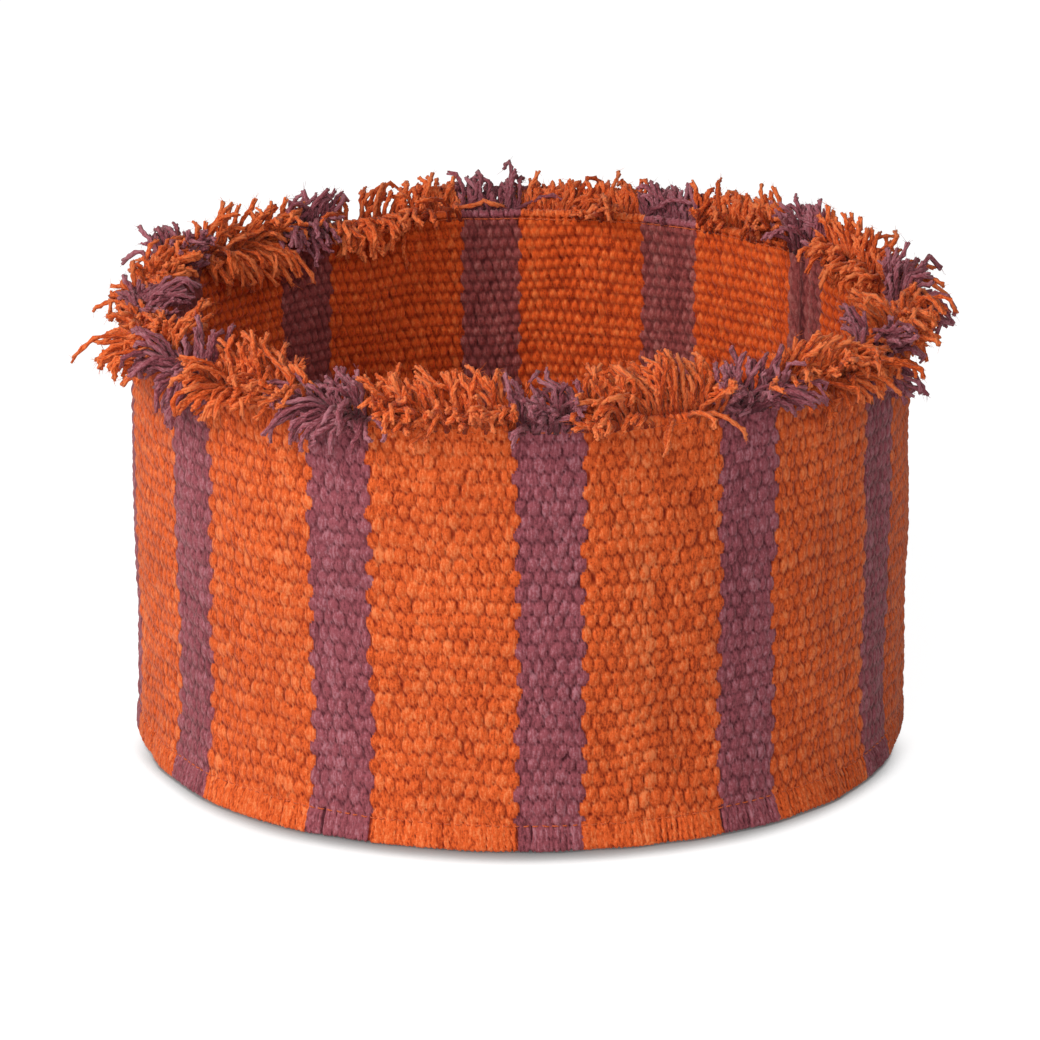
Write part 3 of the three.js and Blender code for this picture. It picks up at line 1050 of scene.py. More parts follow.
LOCKS = {
    (Dye.PLUM, 1): [
        (-0.8, -5, -3, 15), (-0.45, -2, -2, 15), (-0.1, -5, -1, 14), (0.25, -2, 0, 13.5, 1.2),
        (0.55, -5, 0, 14, 1.2), (0.85, -5, 1, 14.5, 1.2), (-0.8, 12, -3, 1, 0.7),
        (-0.3, 8, -3, 13, 1.2), (0.2, 8, -3, 12.5, 1.4), (0.6, 9, -2, 12, 1.2),
    ],
    (Dye.ORANGE, 1): [
        (-0.85, -6, 2, 18, 0.8), (-0.55, -6, 1, 19), (0, -9, -10, 17), (0.2, -8, -6, 16),
        (0.45, -7, -2, 18), (0.7, -7, -1, 17), (0.9, -8, 5, 15, 0.8), (-0.9, 9, -6, 13),
        (-0.8, 10, -9, 7, 0.7), (-0.55, 12, -7, 6, 0.8), (0.9, 9, 0, 15, 0.6),
    ],
    (Dye.PLUM, 2): [
        (-0.8, -5, 1, 15), (-0.4, -3, 2, 15), (-0.05, -4, 3, 14.5), (0.3, -3, 3, 16),
        (0.7, -3, 4, 16), (0.95, 5, 3, 16, 0.8), (-0.6, 9, -5, 12, 1.2),
        (0.2, 11, 18, 4, 1.8),
        (0.4, 12, 13, 4, 1.4), (0.6, 13, 5, 4, 0.6), (-0.1, 11, -8, 8, 0.8),
    ],
    (Dye.ORANGE, 2): [
        (-0.9, -1, 7, 17, 0.8), (-0.55, -1, 8, 19), (-0.2, 0, 9, 18), (0.15, 1, 9, 15),
        (0.5, 2, 13, 9), (0.85, 6, 12, 5), (-0.5, 10, -7, 11), (0, 9, -5, -7, 0.45),
        (0.1, 13, 9, -4, 0.7), (0.4, 13, 10, -2), (0.7, 14, 10, 0), (-0.8, 13, 1, 1, 0.35),
        (0, 10, -5, 13, 1.2), (0.5, 12, -4, 9, 1.2),
    ],
    (Dye.PLUM, 3): [
        (-0.8, -6, 3, 18, 0.9), (-0.2, -10, 2, 14, 0.5), (0.2, 8, -6, 15), (0.7, 10, -6, 12),
        (-0.5, 12, 3, -9), (0.2, 11, 2, -8), (0.8, 12, -4, 0, 0.8),
    ],
    (Dye.ORANGE, 3): [
        (-0.9, -9, 2, 16, 0.9), (-0.4, -9, 5, 14, 0.8), (0.1, -1, 13, 7), (0.5, 3, 13, 7),
        (0.9, 7, 11, 9, 0.8), (-0.7, 10, -5, -1), (-0.2, 9, -6, 0), (0.3, 10, -4, 1, 1.2),
        (0.8, 9, -7, 5, 1.2), (-0.6, 7, -11, 8, 1.2), (0.1, 7, -11, 8, 1.2),
    ],
    (Dye.PLUM, 4): [
        (0.8, 2, 5, 17), (0.4, 6, 8, 14), (0, 9, 8, 11, 1.2), (-0.2, 12, 6, 6, 1.2),
        (-0.5, 14, 0, 3, 1.2), (-0.8, 14, -1, -1, 1.2), (-0.9, 13, -2, -5),
    ],
    (Dye.ORANGE, 4): [
        (0.95, -6, 0, 17, 0.9), (0.9, -12, -5, 9, 1.2), (0.75, 1, 8, 16), (0.5, 1, 6, 18, 1.2),
        (0.25, 5, 7, 16, 1.2), (0, 8, 8, 13, 1.2), (0.65, -13, -5, 6, 1.3),
        (0.3, -13, -6, 2, 1.2), (-0.1, -11, -8, 6, 1.2), (-0.3, 9, 9, 9), (-0.6, 10, 9, 7),
        (-0.9, 10, 8, 5), (-0.9, 11, -8, 4), (-0.5, -8, -11, 5),
    ],
    (Dye.PLUM, 5): [
        (0.8, 1, 11, 13), (0.3, 2, 9, 15), (-0.2, 1, 7, 16), (-0.8, 1, 9, 15),
        (0.5, -10, 1, 14, 0.7),
    ],
    (Dye.ORANGE, 5): [
        (0.9, 7, 7, 12, 0.8), (0.6, 10, 6, 10), (0.25, 9, 6, 12), (-0.1, 7, 6, 13),
        (-0.5, 4, 7, 14), (-0.85, 3, 9, 12), (0.8, -10, -5, 12, 0.4), (-0.3, -8, -6, 14, 0.5),
    ],
    (Dye.PLUM, 6): [
        (0.8, 10, 8, 6), (0.3, 9, 8, 10), (-0.3, 9, 8, 9), (-0.8, 10, 7, 10),
    ],
    (Dye.ORANGE, 6): [
        (0.9, 13, 1, 6.5), (0.65, 13, 1, 5.5), (0.35, 12, 3, 8.5), (0.1, 13, -1, 5.5),
        (-0.2, 13, 0, 7.5), (-0.5, 12, 3, 9.5), (-0.85, 12, 5, 7.5), (-0.2, -12, -4, 9, 0.5),
    ],
    (Dye.PLUM, 7): [
        (0.9, 13, 1, 8), (0.4, 12, 0, 9), (-0.1, 13, -1, 6), (-0.6, 13, -1, 7), (-0.9, 12, -2, 8),
    ],
    (Dye.ORANGE, 7): [
        (-0.85, 12, -2, 10), (-0.55, 12, -3, 10), (-0.2, 11, -5, 10), (0.15, 11, -7, 9, 0.9),
        (0.5, 11, -7, 8, 0.7), (0.85, 10, -8, 9, 0.6), (-0.5, -11, 8, 8, 0.5),
        (0.9, -12, 7, 3, 1.1), (0.75, -13, 4, -4, 1.4), (0.5, -13, 2, -6, 1.4),
        (0.3, -14, 0, -1, 1.3), (0.1, -14, 2, 3, 0.8), (-0.3, -12, 2, 4, 0.5),
    ],
    (Dye.PLUM, 8): [
        (-0.7, 4, -10, 13, 0.8), (-0.1, 5, -10, 12), (0.5, 5, -11, 12, 0.8), (0, -13, 5, -4, 1.6),
        (0.5, -13, 5, 3, 1.3), (-0.4, -13, 5, 2, 1.3),
    ],
    (Dye.ORANGE, 8): [
        (0.9, -1, -7, 18, 0.7), (0.55, -3, -8, 17, 0.8), (0.2, -3, -9, 17, 0.8), (-0.2, -3, -9, 15),
        (-0.7, 2, -11, 11), (-0.8, -12, 0, 12), (0.1, -5, -6, 12, 1.4), (0.6, -5, -3, 13, 1.4),
        (-0.6, -10, -12, 5, 1.2), (-0.4, -12, -9, -10, 1.8), (0, -13, -8, -8, 1.9),
        (0.3, -14, -3, -7, 1.8), (0.6, -14, 2, -5, 1.8), (0.85, -13, 6, 2, 1.4),
    ],
    (Dye.PLUM, 9): [
        (-0.6, 6, -12, 8), (0, 6, -9, 13, 1.2), (0.5, 8, -9, 11, 1.2), (0.7, 10, -9, 8),
        (-0.6, -10, 4, 13, 0.5), (0.2, -6, 7, 15, 0.8),
    ],
    (Dye.ORANGE, 9): [
        (-0.9, -11, -1, 13), (-0.75, -3, -12, 11), (-0.45, 1, -12, 11), (-0.2, 3, -11, 12),
        (0, 3, -12, 8), (0.3, 4, -12, 5), (0.65, 5, -11, 4), (-0.8, -13, -1, 7, 0.7),
        (-0.5, -9, 8, 12, 1.2), (0, -5, 11, 11), (0.85, 6, -10, 3, 0.8),
    ],
    (Dye.PLUM, 10): [
        (-0.5, 1, -13, 6), (0.1, 0, -13, 8, 0.8), (-0.8, -7, -11, 9), (-0.5, -12, -4, 14),
        (0.1, -14, -2, 11), (0.6, -7, 10, 11), (0.6, 3, -12, 6, 0.8),
    ],
    (Dye.ORANGE, 10): [
        (-0.8, 8, -8, 5, 1.5), (-0.3, 10, -5, 4, 1.3), (0, 14, -6, 1, 0.9), (0.3, 14, -7, -1, 0.9),
        (0.65, 13, -7, -2, 0.9), (-0.6, 1, 11, 13), (-0.1, -1, 11, 14), (0.4, -4, 7, 16),
        (0.75, -11, -1, 17, 0.9), (-0.8, 3, -13, 7), (0.2, 8, 7, 8, 1.2),
    ],
    (Dye.PLUM, 11): [
        (0.3, -3, -5, 19, 0.9), (0.8, -5, -4, 19, 0.7), (-0.2, -1, -12, 10, 1.2),
        (-0.6, 12, -12, 13), (-0.7, 12, -10, 4, 0.8), (-0.5, 13, -10, 0, 0.8),
        (-0.2, 12, -8, -3, 0.8), (0, 12, -5, -8, 0.7), (0.3, 10, -3, -11, 1.1),
        (0.1, 11, 7, 3, 1.2),
    ],
    (Dye.ORANGE, 11): [
        (-0.95, 12, 0, 11, 0.7), (-0.85, 13, 1, 4, 0.9), (-0.75, 12, -7, -8, 0.8),
        (-0.5, 10, -6, -6, 0.9), (-0.25, 13, -1, -1, 0.9), (-0.85, -5, -11, 12, 0.9),
        (-0.45, -3, -5, 17), (-0.1, -3, -6, 19), (0.3, -4, -6, 20), (0.65, -3, -6, 18),
        (0.1, 12, 4, 10), (0.5, 13, 2, 9), (0.9, -9, -9, 9, 0.8), (0.7, 11, -7, 1, 0.5),
    ],
    (Dye.PLUM, 12): [
        (0.6, -3, -8, 16), (0, -4, -10, 13), (-0.5, -4, -12, 9), (-0.6, 6, -15, 7, 1.1),
        (-0.5, 8, -16, 2, 1.1), (-0.4, 10, -17, -3, 0.7), (0, 9, -13, -5, 0.7),
        (0.3, 8, -12, -7, 0.7), (0.8, 12, 4, -1, 0.9), (0.3, 13, 1, 3, 1.3), (0.9, 9, -1, 15, 0.9),
    ],
    (Dye.ORANGE, 12): [
        (-0.9, -4, -8, 14, 0.9), (-0.6, -3, -7, 15), (-0.4, -5, -7, 17), (-0.1, -5, -6, 17),
        (0.2, -6, -6, 17), (0.5, -6, -4, 17), (0.8, -6, -4, 18), (-0.8, 12, 1, 11, 0.8),
        (-0.4, 13, -2, 4, 0.7), (0, 13, -3, 9, 0.8), (0.35, 7, -9, 12, 0.8),
        (0.6, 11, -4, 12, 0.8), (0.9, 12, -3, 10, 0.8),
    ],
}

# Single yarns that lie apart from their tuft.
STRAYS = {
    (Dye.ORANGE, 1): [
        (-0.2, 8, -9, 2), (0.2, 9, -5, -6), (0.25, 9, -4, -5), (0.5, 8, 15, -4), (0.45, 11, 5, 2),
        (-0.9, 9, -8, 6),
    ],
    (Dye.ORANGE, 2): [(0.7, 18, 11, -1), (0, 6, -5, -12)],
    (Dye.PLUM, 5): [(0, 1, 8, 18), (-0.6, 2, 7, 17), (-0.5, -12, 11, 7)],
    (Dye.ORANGE, 5): [(0.95, 4, 6, 16), (-0.4, 2, 7, 19), (-0.8, 1, 8, 19)],
    (Dye.PLUM, 6): [(0.8, 1, -14, 8)],
    (Dye.ORANGE, 6): [(0.75, 9, 1, 12), (0.25, 7, 0, 13), (-0.05, 8, 0, 11)],
    (Dye.PLUM, 7): [(-0.6, 8, -3, 14), (-0.8, 6, -22, 0), (0.1, 8, 1, 12)],
    (Dye.ORANGE, 7): [(-0.95, -1, -14, 4), (-0.1, -6, -1, -14), (-0.45, 8, -4, 14)],
    (Dye.PLUM, 8): [(0.2, -13, 3, -7), (-0.3, 1, -8, 16)],
    (Dye.ORANGE, 8): [(0.3, -14, -1, -8), (0.8, -13, 7, -2)],
    (Dye.PLUM, 9): [(0.7, 12, -5, 15), (0.9, 16, -3, 6)],
    (Dye.PLUM, 10): [(-0.8, 4, -11, 12), (0, -18, -3, 13)],
    (Dye.ORANGE, 9): [(0.7, 14, -7, -1)],
    (Dye.ORANGE, 10): [(0.1, 22, -8, -1)],
    (Dye.ORANGE, 12): [(-0.5, 12, 1, 1), (-0.15, 10, -2, -5)],
}


@dataclass
class Fringe:
    """The fringe: the cut ends of the warp yarns, a tuft of locks for each stripe.

    Each yarn is a loose twist of three plies. Its line leaves the rim upright and arches over to its
    tip, its plies part at the cut end like a brush, and fine hairs stand off it.
    """

    sizes: Sizes
    wall: Wall
    yarns_per_plum: int = 70
    yarns_per_orange: int = 148
    hairs_per_yarn: int = 8
    steps: int = 8
    sides: int = 4
    hair_sides: int = 3
    plies: int = 3
    ply_radius: float = 0.53
    ply_offset: float = 0.46
    ply_closeness: float = 0.92
    ply_spread: float = 0.09
    ply_range: tuple = (0.84, 1.18)
    swell: float = 0.14
    thinning: float = 0.22
    throb: float = 0.15
    twist_pitch: float = 7.5
    twist_range: tuple = (0.6, 1.3)
    parting: float = 0.6
    end_spread: float = 0.55
    hair_radius: float = 0.07
    hair_length: tuple = (0.6, 1.4)
    hair_ahead: float = 0.6
    hair_stray: float = 0.7
    hair_bend: float = 1.2
    reach: float = 0.34
    gather: float = 0.2
    scatter: float = 2.4
    stray_scatter: float = 0.25
    steepest: float = 165.0
    lean_spread: float = 0.30
    end_turn: float = 0.28
    root_turn: float = 0.22
    grip: float = 0.38
    curls: int = 3
    curl_size: float = 0.9
    clearance: float = 1.3
    place_spread: float = 0.25
    layer_share: float = 0.75
    layer_reach: float = 9.0
    layer_spread: float = 0.42
    layer_depth: float = 1.6
    foot_depth: float = 0.3
    foot_range: tuple = (-0.3, 0.5)
    short_share: float = 0.36
    short_range: tuple = (0.15, 0.5)
    shrink_mean: float = -0.15
    shrink_spread: float = 0.08
    yarn_tint: float = 0.8
    ply_tint: float = 0.5
    root_shade: float = 0.52
    least_shade: float = 0.23
    groove_shade: float = 0.85
    groove_reach: float = 0.4
    pale_and_lit_tip: float = 1.6
    first_seed: int = 1000

    def gathered(self, place: np.ndarray, locks: list[Lock], draw: np.random.Generator) -> np.ndarray:
        """Gives each yarn to a lock near it.

        A lock's chance is its share times exp(-((place - its place) / reach)^2).

        Args:
            place: Each yarn's place across the stripe, from -1 to 1.
            locks: The tuft's locks.
            draw: The random numbers.

        Returns:
            The number of each yarn's lock.
        """
        centre = np.array([lock.place for lock in locks])
        share = np.array([lock.share for lock in locks])
        chance = share * bell(place[:, None] - centre, self.reach) + TINY
        chance = np.cumsum(chance / chance.sum(1, keepdims=True), axis=1)
        return np.minimum((chance < draw.uniform(0, 1, (len(place), 1))).sum(1), len(locks) - 1)

    def arches(self, roots: np.ndarray, tips: np.ndarray, draw: np.random.Generator) -> np.ndarray:
        """Bends each yarn's middle line from its root over to its tip.

        The line is the cubic curve with the handles root + grip up and tip - grip end. The end leans
        twice as far as the tip does from the root, and the grip is a share of the way between them.
        Waves that grow along the yarn are added. Below the rim it is kept outside the cloth.

        Args:
            roots: Where the yarns start, shaped (n, 3).
            tips: Where they end.
            draw: The random numbers.

        Returns:
            The lines, shaped (n, steps, 3).
        """
        s, count = self.sizes, len(roots)
        way = tips - roots
        size = np.linalg.norm(way, axis=1, keepdims=True)
        level = way * [1, 1, 0]
        level /= np.linalg.norm(level, axis=1, keepdims=True) + TINY
        lean = np.arccos(np.clip(way[:, 2:] / size, -1, 1))
        end = np.minimum(2 * lean, math.radians(self.steepest)) + draw.normal(0, self.lean_spread, (count, 1))
        end = np.sin(end) * level + np.cos(end) * UP + draw.normal(0, self.end_turn, (count, 3))
        up = UP + draw.normal(0, self.root_turn, (count, 3)) * [1, 1, 0]
        grip = self.grip * size
        t = np.linspace(0, 1, self.steps)[None, :, None]
        first, last = (roots + grip * up)[:, None], (tips - grip * end)[:, None]
        line = (1 - t) ** 3 * roots[:, None] + 3 * (1 - t) ** 2 * t * first
        line = line + 3 * (1 - t) * t**2 * last + t**3 * tips[:, None]
        for k in range(self.curls):
            wave = np.sin((1.6 + 1.7 * k) * math.pi * t + draw.uniform(0, TURN, (count, 1, 3)))
            line = line + wave * t**0.7 * draw.normal(0, self.curl_size / (1 + 0.5 * k), (count, 1, 3))
        far = np.hypot(line[..., 0], line[..., 1])
        below = smooth(s.wall_height + 1.5, s.wall_height - 1.0, line[..., 2]) * smooth(0.1, 0.35, t[..., 0])
        outside = np.hypot(tips[:, 0], tips[:, 1])[:, None] > s.core_radius
        least = s.core_radius + (s.wall_radius + self.clearance - s.core_radius) * below
        most = s.core_radius - (s.core_radius - s.inner_radius + self.clearance) * below
        clear = np.where(outside, np.maximum(far, least), np.minimum(far, most))
        line[..., :2] *= (clear / far)[..., None]
        return line

    def twisted(self, lines: np.ndarray, draw: np.random.Generator) -> tuple[np.ndarray, np.ndarray]:
        """Winds the plies round each yarn's line.

        A ply's line is the yarn's line + offset (cos a side + sin a up), where a grows by a turn in the
        twist's pitch, and the offset grows near the cut end.

        Args:
            lines: The yarns' lines, shaped (n, steps, 3).
            draw: The random numbers.

        Returns:
            The plies' lines, shaped (n * plies, steps, 3), and their radii, shaped (n * plies, steps).
        """
        count, steps, _ = lines.shape
        ahead, side, up = carried(lines)
        t = np.linspace(0, 1, steps)
        length = np.linalg.norm(np.diff(lines, axis=1), axis=2).sum(axis=1)
        shares = np.arange(self.plies)[None, :, None] * TURN / self.plies
        start = draw.uniform(0, TURN, (count, 1, 1)) + shares
        wound = length / self.twist_pitch * TURN * draw.uniform(*self.twist_range, count)
        turn = start + wound[:, None, None] * t[None, None]
        part = draw.uniform(0.0, self.parting, (count, self.plies, 1)) * smooth(0.80, 1.0, t)[None, None]
        throb = 1 + self.throb * np.sin(5 * t + turn[:, :, :1])
        offset = self.ply_offset * (self.ply_closeness + part) * throb
        round_it = np.cos(turn)[..., None] * side[:, None] + np.sin(turn)[..., None] * up[:, None]
        path = lines[:, None] + offset[..., None] * round_it
        longer = draw.normal(0, self.end_spread, (count, self.plies, 1, 1))
        path = path + longer * smooth(0.7, 1.0, t)[None, None, :, None] * ahead[:, None]
        width = 1 + self.swell * smooth(0.5, 0.85, t) - self.thinning * smooth(0.88, 1.0, t)
        radius = self.ply_radius * width
        radii = radius[None, None] * draw.uniform(*self.ply_range, (count, self.plies, 1))
        radii = radii * draw.normal(1, self.ply_spread, radii.shape)
        return path.reshape(-1, steps, 3), radii.reshape(-1, steps)

    def hairs(self, lines: np.ndarray, draw: np.random.Generator) -> np.ndarray:
        """Draws fine hairs off the yarns.

        A hair runs straight from its root to root + size (direction + bend / 2), with a direction
        between the yarn's own and a random one.

        Args:
            lines: The yarns' lines, shaped (n, steps, 3).
            draw: The random numbers.

        Returns:
            The hairs' lines, shaped (n * hairs_per_yarn, 2, 3).
        """
        count = len(lines) * self.hairs_per_yarn
        yarn = np.repeat(np.arange(len(lines)), self.hairs_per_yarn)
        place = np.minimum(draw.integers(2, self.steps + 6, count), self.steps - 1)
        ahead = self.hair_ahead * carried(lines)[0][yarn, place]
        direction = ahead + draw.normal(0, self.hair_stray, (count, 3))
        bend = draw.normal(0, self.hair_bend, (count, 3))
        size = draw.uniform(*self.hair_length, (count, 1))
        root = lines[yarn, place]
        return np.stack([root, root + size * (direction + 0.5 * bend)], axis=1)

    def rooted(self, dye: Dye, number: int, draw: np.random.Generator) -> tuple[np.ndarray, np.ndarray]:
        """Places the roots and tips of a tuft's yarns.

        A yarn's tip is its root, plus its lock's way, plus gather times the way from its root to the
        lock's, so that a lock's yarns draw together. Strays have a place and a tip of their own.

        Args:
            dye: The tuft's colour.
            number: Its stripe's number.
            draw: The random numbers.

        Returns:
            The roots and the tips, shaped (n, 3).
        """
        s = self.sizes
        start, end = s.span(dye, number)
        locks = [Lock(*row) for row in LOCKS[dye, number]]
        count = self.yarns_per_plum if dye is Dye.PLUM else self.yarns_per_orange
        place = np.arange(count) + 0.5 + draw.normal(0, self.place_spread, count)
        place = np.clip(place / count, 0.01, 0.99) * 2 - 1
        chosen = np.array(locks)[self.gathered(place, locks, draw)]
        strays = [Lock(*row) for row in STRAYS.get((dye, number), [])]
        strays = np.array(strays).reshape(-1, len(Lock._fields))
        place = np.append(place, strays[:, 0])
        chosen = np.concatenate([chosen, strays])
        total = len(place)
        loose = (np.arange(total) < count).astype(float)
        angle = start + (place + 1) / 2 * (end - start)
        centre = start + (chosen[:, 0] + 1) / 2 * (end - start)
        layer = self.layer_share * np.clip(chosen[:, 1] / self.layer_reach, -1, 1)
        layer = layer + draw.normal(0, self.layer_spread, total)
        foot = s.rim_stitch - self.foot_depth + draw.uniform(*self.foot_range, total)
        radius = s.core_radius + self.layer_depth * np.clip(layer, -1.15, 1.15) + self.wall.form(angle, foot)
        roots = s.place(radius, angle, foot)
        short = draw.uniform(*self.short_range, total) * (draw.uniform(0, 1, total) < self.short_share)
        shrink = 1 + loose * (draw.normal(self.shrink_mean, self.shrink_spread, total) - short)
        out, side = s.place(1.0, centre, 0.0), s.place(1.0, centre + math.pi / 2, 0.0)
        way = chosen[:, 1:2] * out + chosen[:, 2:3] * side + chosen[:, 3:4] * UP
        drawn = (self.gather * loose)[:, None] * (s.place(radius, centre, foot) - roots)
        spread = (self.stray_scatter + self.scatter * loose)[:, None]
        scatter = draw.normal(0, 1, (total, 3)) * [1, 1, 0.6] * spread
        return roots, roots + way * shrink[:, None] + drawn + scatter

    def tuft(self, name: str, dye: Dye, number: int, material: bpy.types.Material) -> bpy.types.Object:
        """Makes one stripe's tuft.

        Args:
            name: The piece's name.
            dye: Its colour.
            number: The stripe's number.
            material: The finish.

        Returns:
            The piece.
        """
        plum = float(dye is Dye.PLUM)
        draw = np.random.default_rng(self.first_seed + 2 * number + int(plum))
        roots, tips = self.rooted(dye, number, draw)
        lines = self.arches(roots, tips, draw)
        paths, radii = self.twisted(lines, draw)
        made = Surface(name)
        tint = np.repeat(draw.normal(0, self.yarn_tint, len(roots)), self.plies)
        tint = tint + draw.normal(0, self.ply_tint, len(paths))
        ring = np.concatenate([np.repeat(np.linspace(0, 1, self.steps), self.sides), [0.0, 1.0]])
        # Painted shade: darker towards the roots, inside the tuft, over a small amount everywhere.
        shade = self.least_shade + self.root_shade * (1 - ring) ** 1.7
        # Paler tips: partly the frayed ends' own paler fibres, partly a painted highlight where they catch
        # the light.
        pale = self.pale_and_lit_tip * smooth(0.72, 1.0, ring)
        points, faces, runs = tubes(paths, radii, self.sides)
        body = points.reshape(len(roots), self.plies, -1, 3)[:, :, : self.steps * self.sides]
        body = body.reshape(len(roots), self.plies, self.steps, self.sides, 3)
        # Painted shade in the grooves between the plies.
        apart = np.linalg.norm(body - lines[:, None, :, None], axis=-1)
        reach = self.ply_offset + self.groove_reach * self.ply_radius
        groove = self.groove_shade * smooth(reach, 0.0, apart)
        groove = np.concatenate([groove.reshape(len(paths), -1), np.zeros((len(paths), 2))], axis=1)
        depth = np.maximum(shade[None], groove).ravel()
        tint_at = (tint[:, None] + pale).ravel()
        made.add(points, faces, runs, plum=np.full(len(points), plum), tint=tint_at, depth=depth)
        hairs = self.hairs(lines, draw)
        thin = self.hair_radius * np.array([1.0, 0.5]) * np.ones((len(hairs), 1))
        points, faces, runs = tubes(hairs, thin, self.hair_sides)
        blank = np.zeros(len(points))
        made.add(points, faces, runs, plum=blank + plum, tint=blank + 0.5, depth=blank)
        return made.object(material)

    def build(self, finishes: dict[Dye, bpy.types.Material]) -> dict[str, bpy.types.Object]:
        """Makes every tuft.

        Args:
            finishes: The finish of each dye.

        Returns:
            The pieces, by the name of the CAD node that each stands for.
        """
        made = {}
        for number, dye in self.sizes.stripes:
            node = node_name(dye, "fringe", number)
            made[node] = finished(self.tuft("yarns_" + node, dye, number, finishes[dye]), dye.value, node)
        return made


@dataclass(frozen=True)
class Run:
    """A run of stitches round the basket: where it lies, its pitch, its stitches and its thread."""

    node: str
    height: float
    radius: float
    outward: int
    pitch: float
    dash: float
    thread_radius: float


@dataclass
class Stitching:
    """The sewing threads: needle and bobbin thread at the rim and the hem, and the side seam's."""

    sizes: Sizes
    wall: Wall
    hem_pitch: float = 2.98
    hem_dash: float = 1.9
    hem_thread_radius: float = 0.24
    rim_pitch: float = 2.6
    rim_dash: float = 2.55
    rim_thread_radius: float = 0.22
    sides: int = 6
    rise_above: float = 0.05
    wander: float = 0.25
    seam_pitch: float = 4.2
    seam_bite: float = 2.2
    seam_climb: float = 1.8
    seam_thread_radius: float = 0.28
    seam_steps: int = 7
    seam_sunk: float = 1.35
    seam_through: float = 1.2

    def dashes(self, run: Run, material: bpy.types.Material) -> bpy.types.Object:
        """Makes a ring of stitches, each a short thread that dips into the cloth at both ends.

        A stitch stands 0.75 (1 - (2t - 1)^4) - 0.55 times its thickness off the cloth over its length.

        Args:
            run: The run of stitches.
            material: The finish.

        Returns:
            The piece.
        """
        count = round(TURN * run.radius / run.pitch)
        draw = np.random.default_rng(int(run.height * 10 + run.outward))
        t = np.linspace(0, 1, 6)[None]
        middle = (np.arange(count) + draw.normal(0, 0.05, count)) * TURN / count
        span = run.dash / run.radius * draw.uniform(0.8, 1.15, count)
        angle = middle[:, None] + (t - 0.5) * span[:, None]
        tilt = draw.normal(0, 0.10, (count, 1))
        rise = run.height + self.wander * np.sin(9 * angle + run.height) + tilt * (t - 0.5) * 2
        bow = 0.75 * (1 - (2 * t - 1) ** 4) - 0.55
        far = run.radius + run.outward * bow * run.thread_radius * 2 + self.wall.form(angle, rise)
        paths = self.sizes.place(far, angle, rise)
        radii = np.broadcast_to(run.thread_radius * (1 - 0.25 * (2 * t - 1) ** 4), paths.shape[:2])
        made = Surface("sewn_" + run.node)
        made.add(*tubes(paths, radii, self.sides))
        return made.object(material)

    def build(self, thread: bpy.types.Material, seam_thread: bpy.types.Material) -> None:
        """Makes the five runs of thread.

        Args:
            thread: The orange thread.
            seam_thread: The plum thread of the side seam.
        """
        s, sunk = self.sizes, self.wall.groove_depth - self.rise_above
        hem = (self.hem_pitch, self.hem_dash, self.hem_thread_radius)
        rim = (self.rim_pitch, self.rim_dash, self.rim_thread_radius)
        for run in (
            Run("hem_needle_thread", s.hem_stitch, s.wall_radius - sunk, 1, *hem),
            Run("hem_bobbin_thread", s.hem_stitch, s.hem_radius + sunk, -1, *hem),
            Run("rim_needle_thread", s.rim_stitch, s.wall_radius - sunk, 1, *rim),
            Run("rim_bobbin_thread", s.rim_stitch, s.inner_radius + sunk, -1, *rim),
        ):
            finished(self.dashes(run, thread), "orange_thread", run.node)
        self.seam(seam_thread)

    def seam(self, material: bpy.types.Material) -> None:
        """Makes the side seam's thread: small slanting stitches that draw the cloth's two ends together.

        Args:
            material: The finish.
        """
        s = self.sizes
        heights = np.arange(s.hem_height + 4, s.rim_stitch - 6, self.seam_pitch)[:, None]
        t = np.linspace(0, 1, self.seam_steps)[None]
        paths = []
        near, far = s.inner_radius + self.seam_sunk, s.wall_radius - self.seam_sunk
        for radius, outward in ((near, -1.0), (far, 1.0)):
            angle = s.seam_angle + (t - 0.5) * self.seam_bite / s.wall_radius + heights * 0
            rise = heights + (t - 0.5) * self.seam_climb * outward
            bow = outward * 0.5 * (1 - (2 * t - 1) ** 2) - outward * 0.25
            paths.append(s.place(radius + bow + self.wall.form(angle, rise), angle, rise))
        heights = heights + self.seam_climb / 2
        thick = s.wall_radius - s.inner_radius - 2 * self.seam_through
        far = s.inner_radius + self.seam_through + t * thick + heights * 0
        angle = s.seam_angle + self.seam_bite / 2 / s.wall_radius + far * 0
        paths.append(s.place(far + self.wall.form(angle, heights), angle, heights))
        lines = np.concatenate(paths)
        made = Surface("sewn_side_seam_thread")
        made.add(*tubes(lines, np.full(lines.shape[:2], self.seam_thread_radius), self.sides))
        finished(made.object(material), "plum_thread", "side_seam_thread")


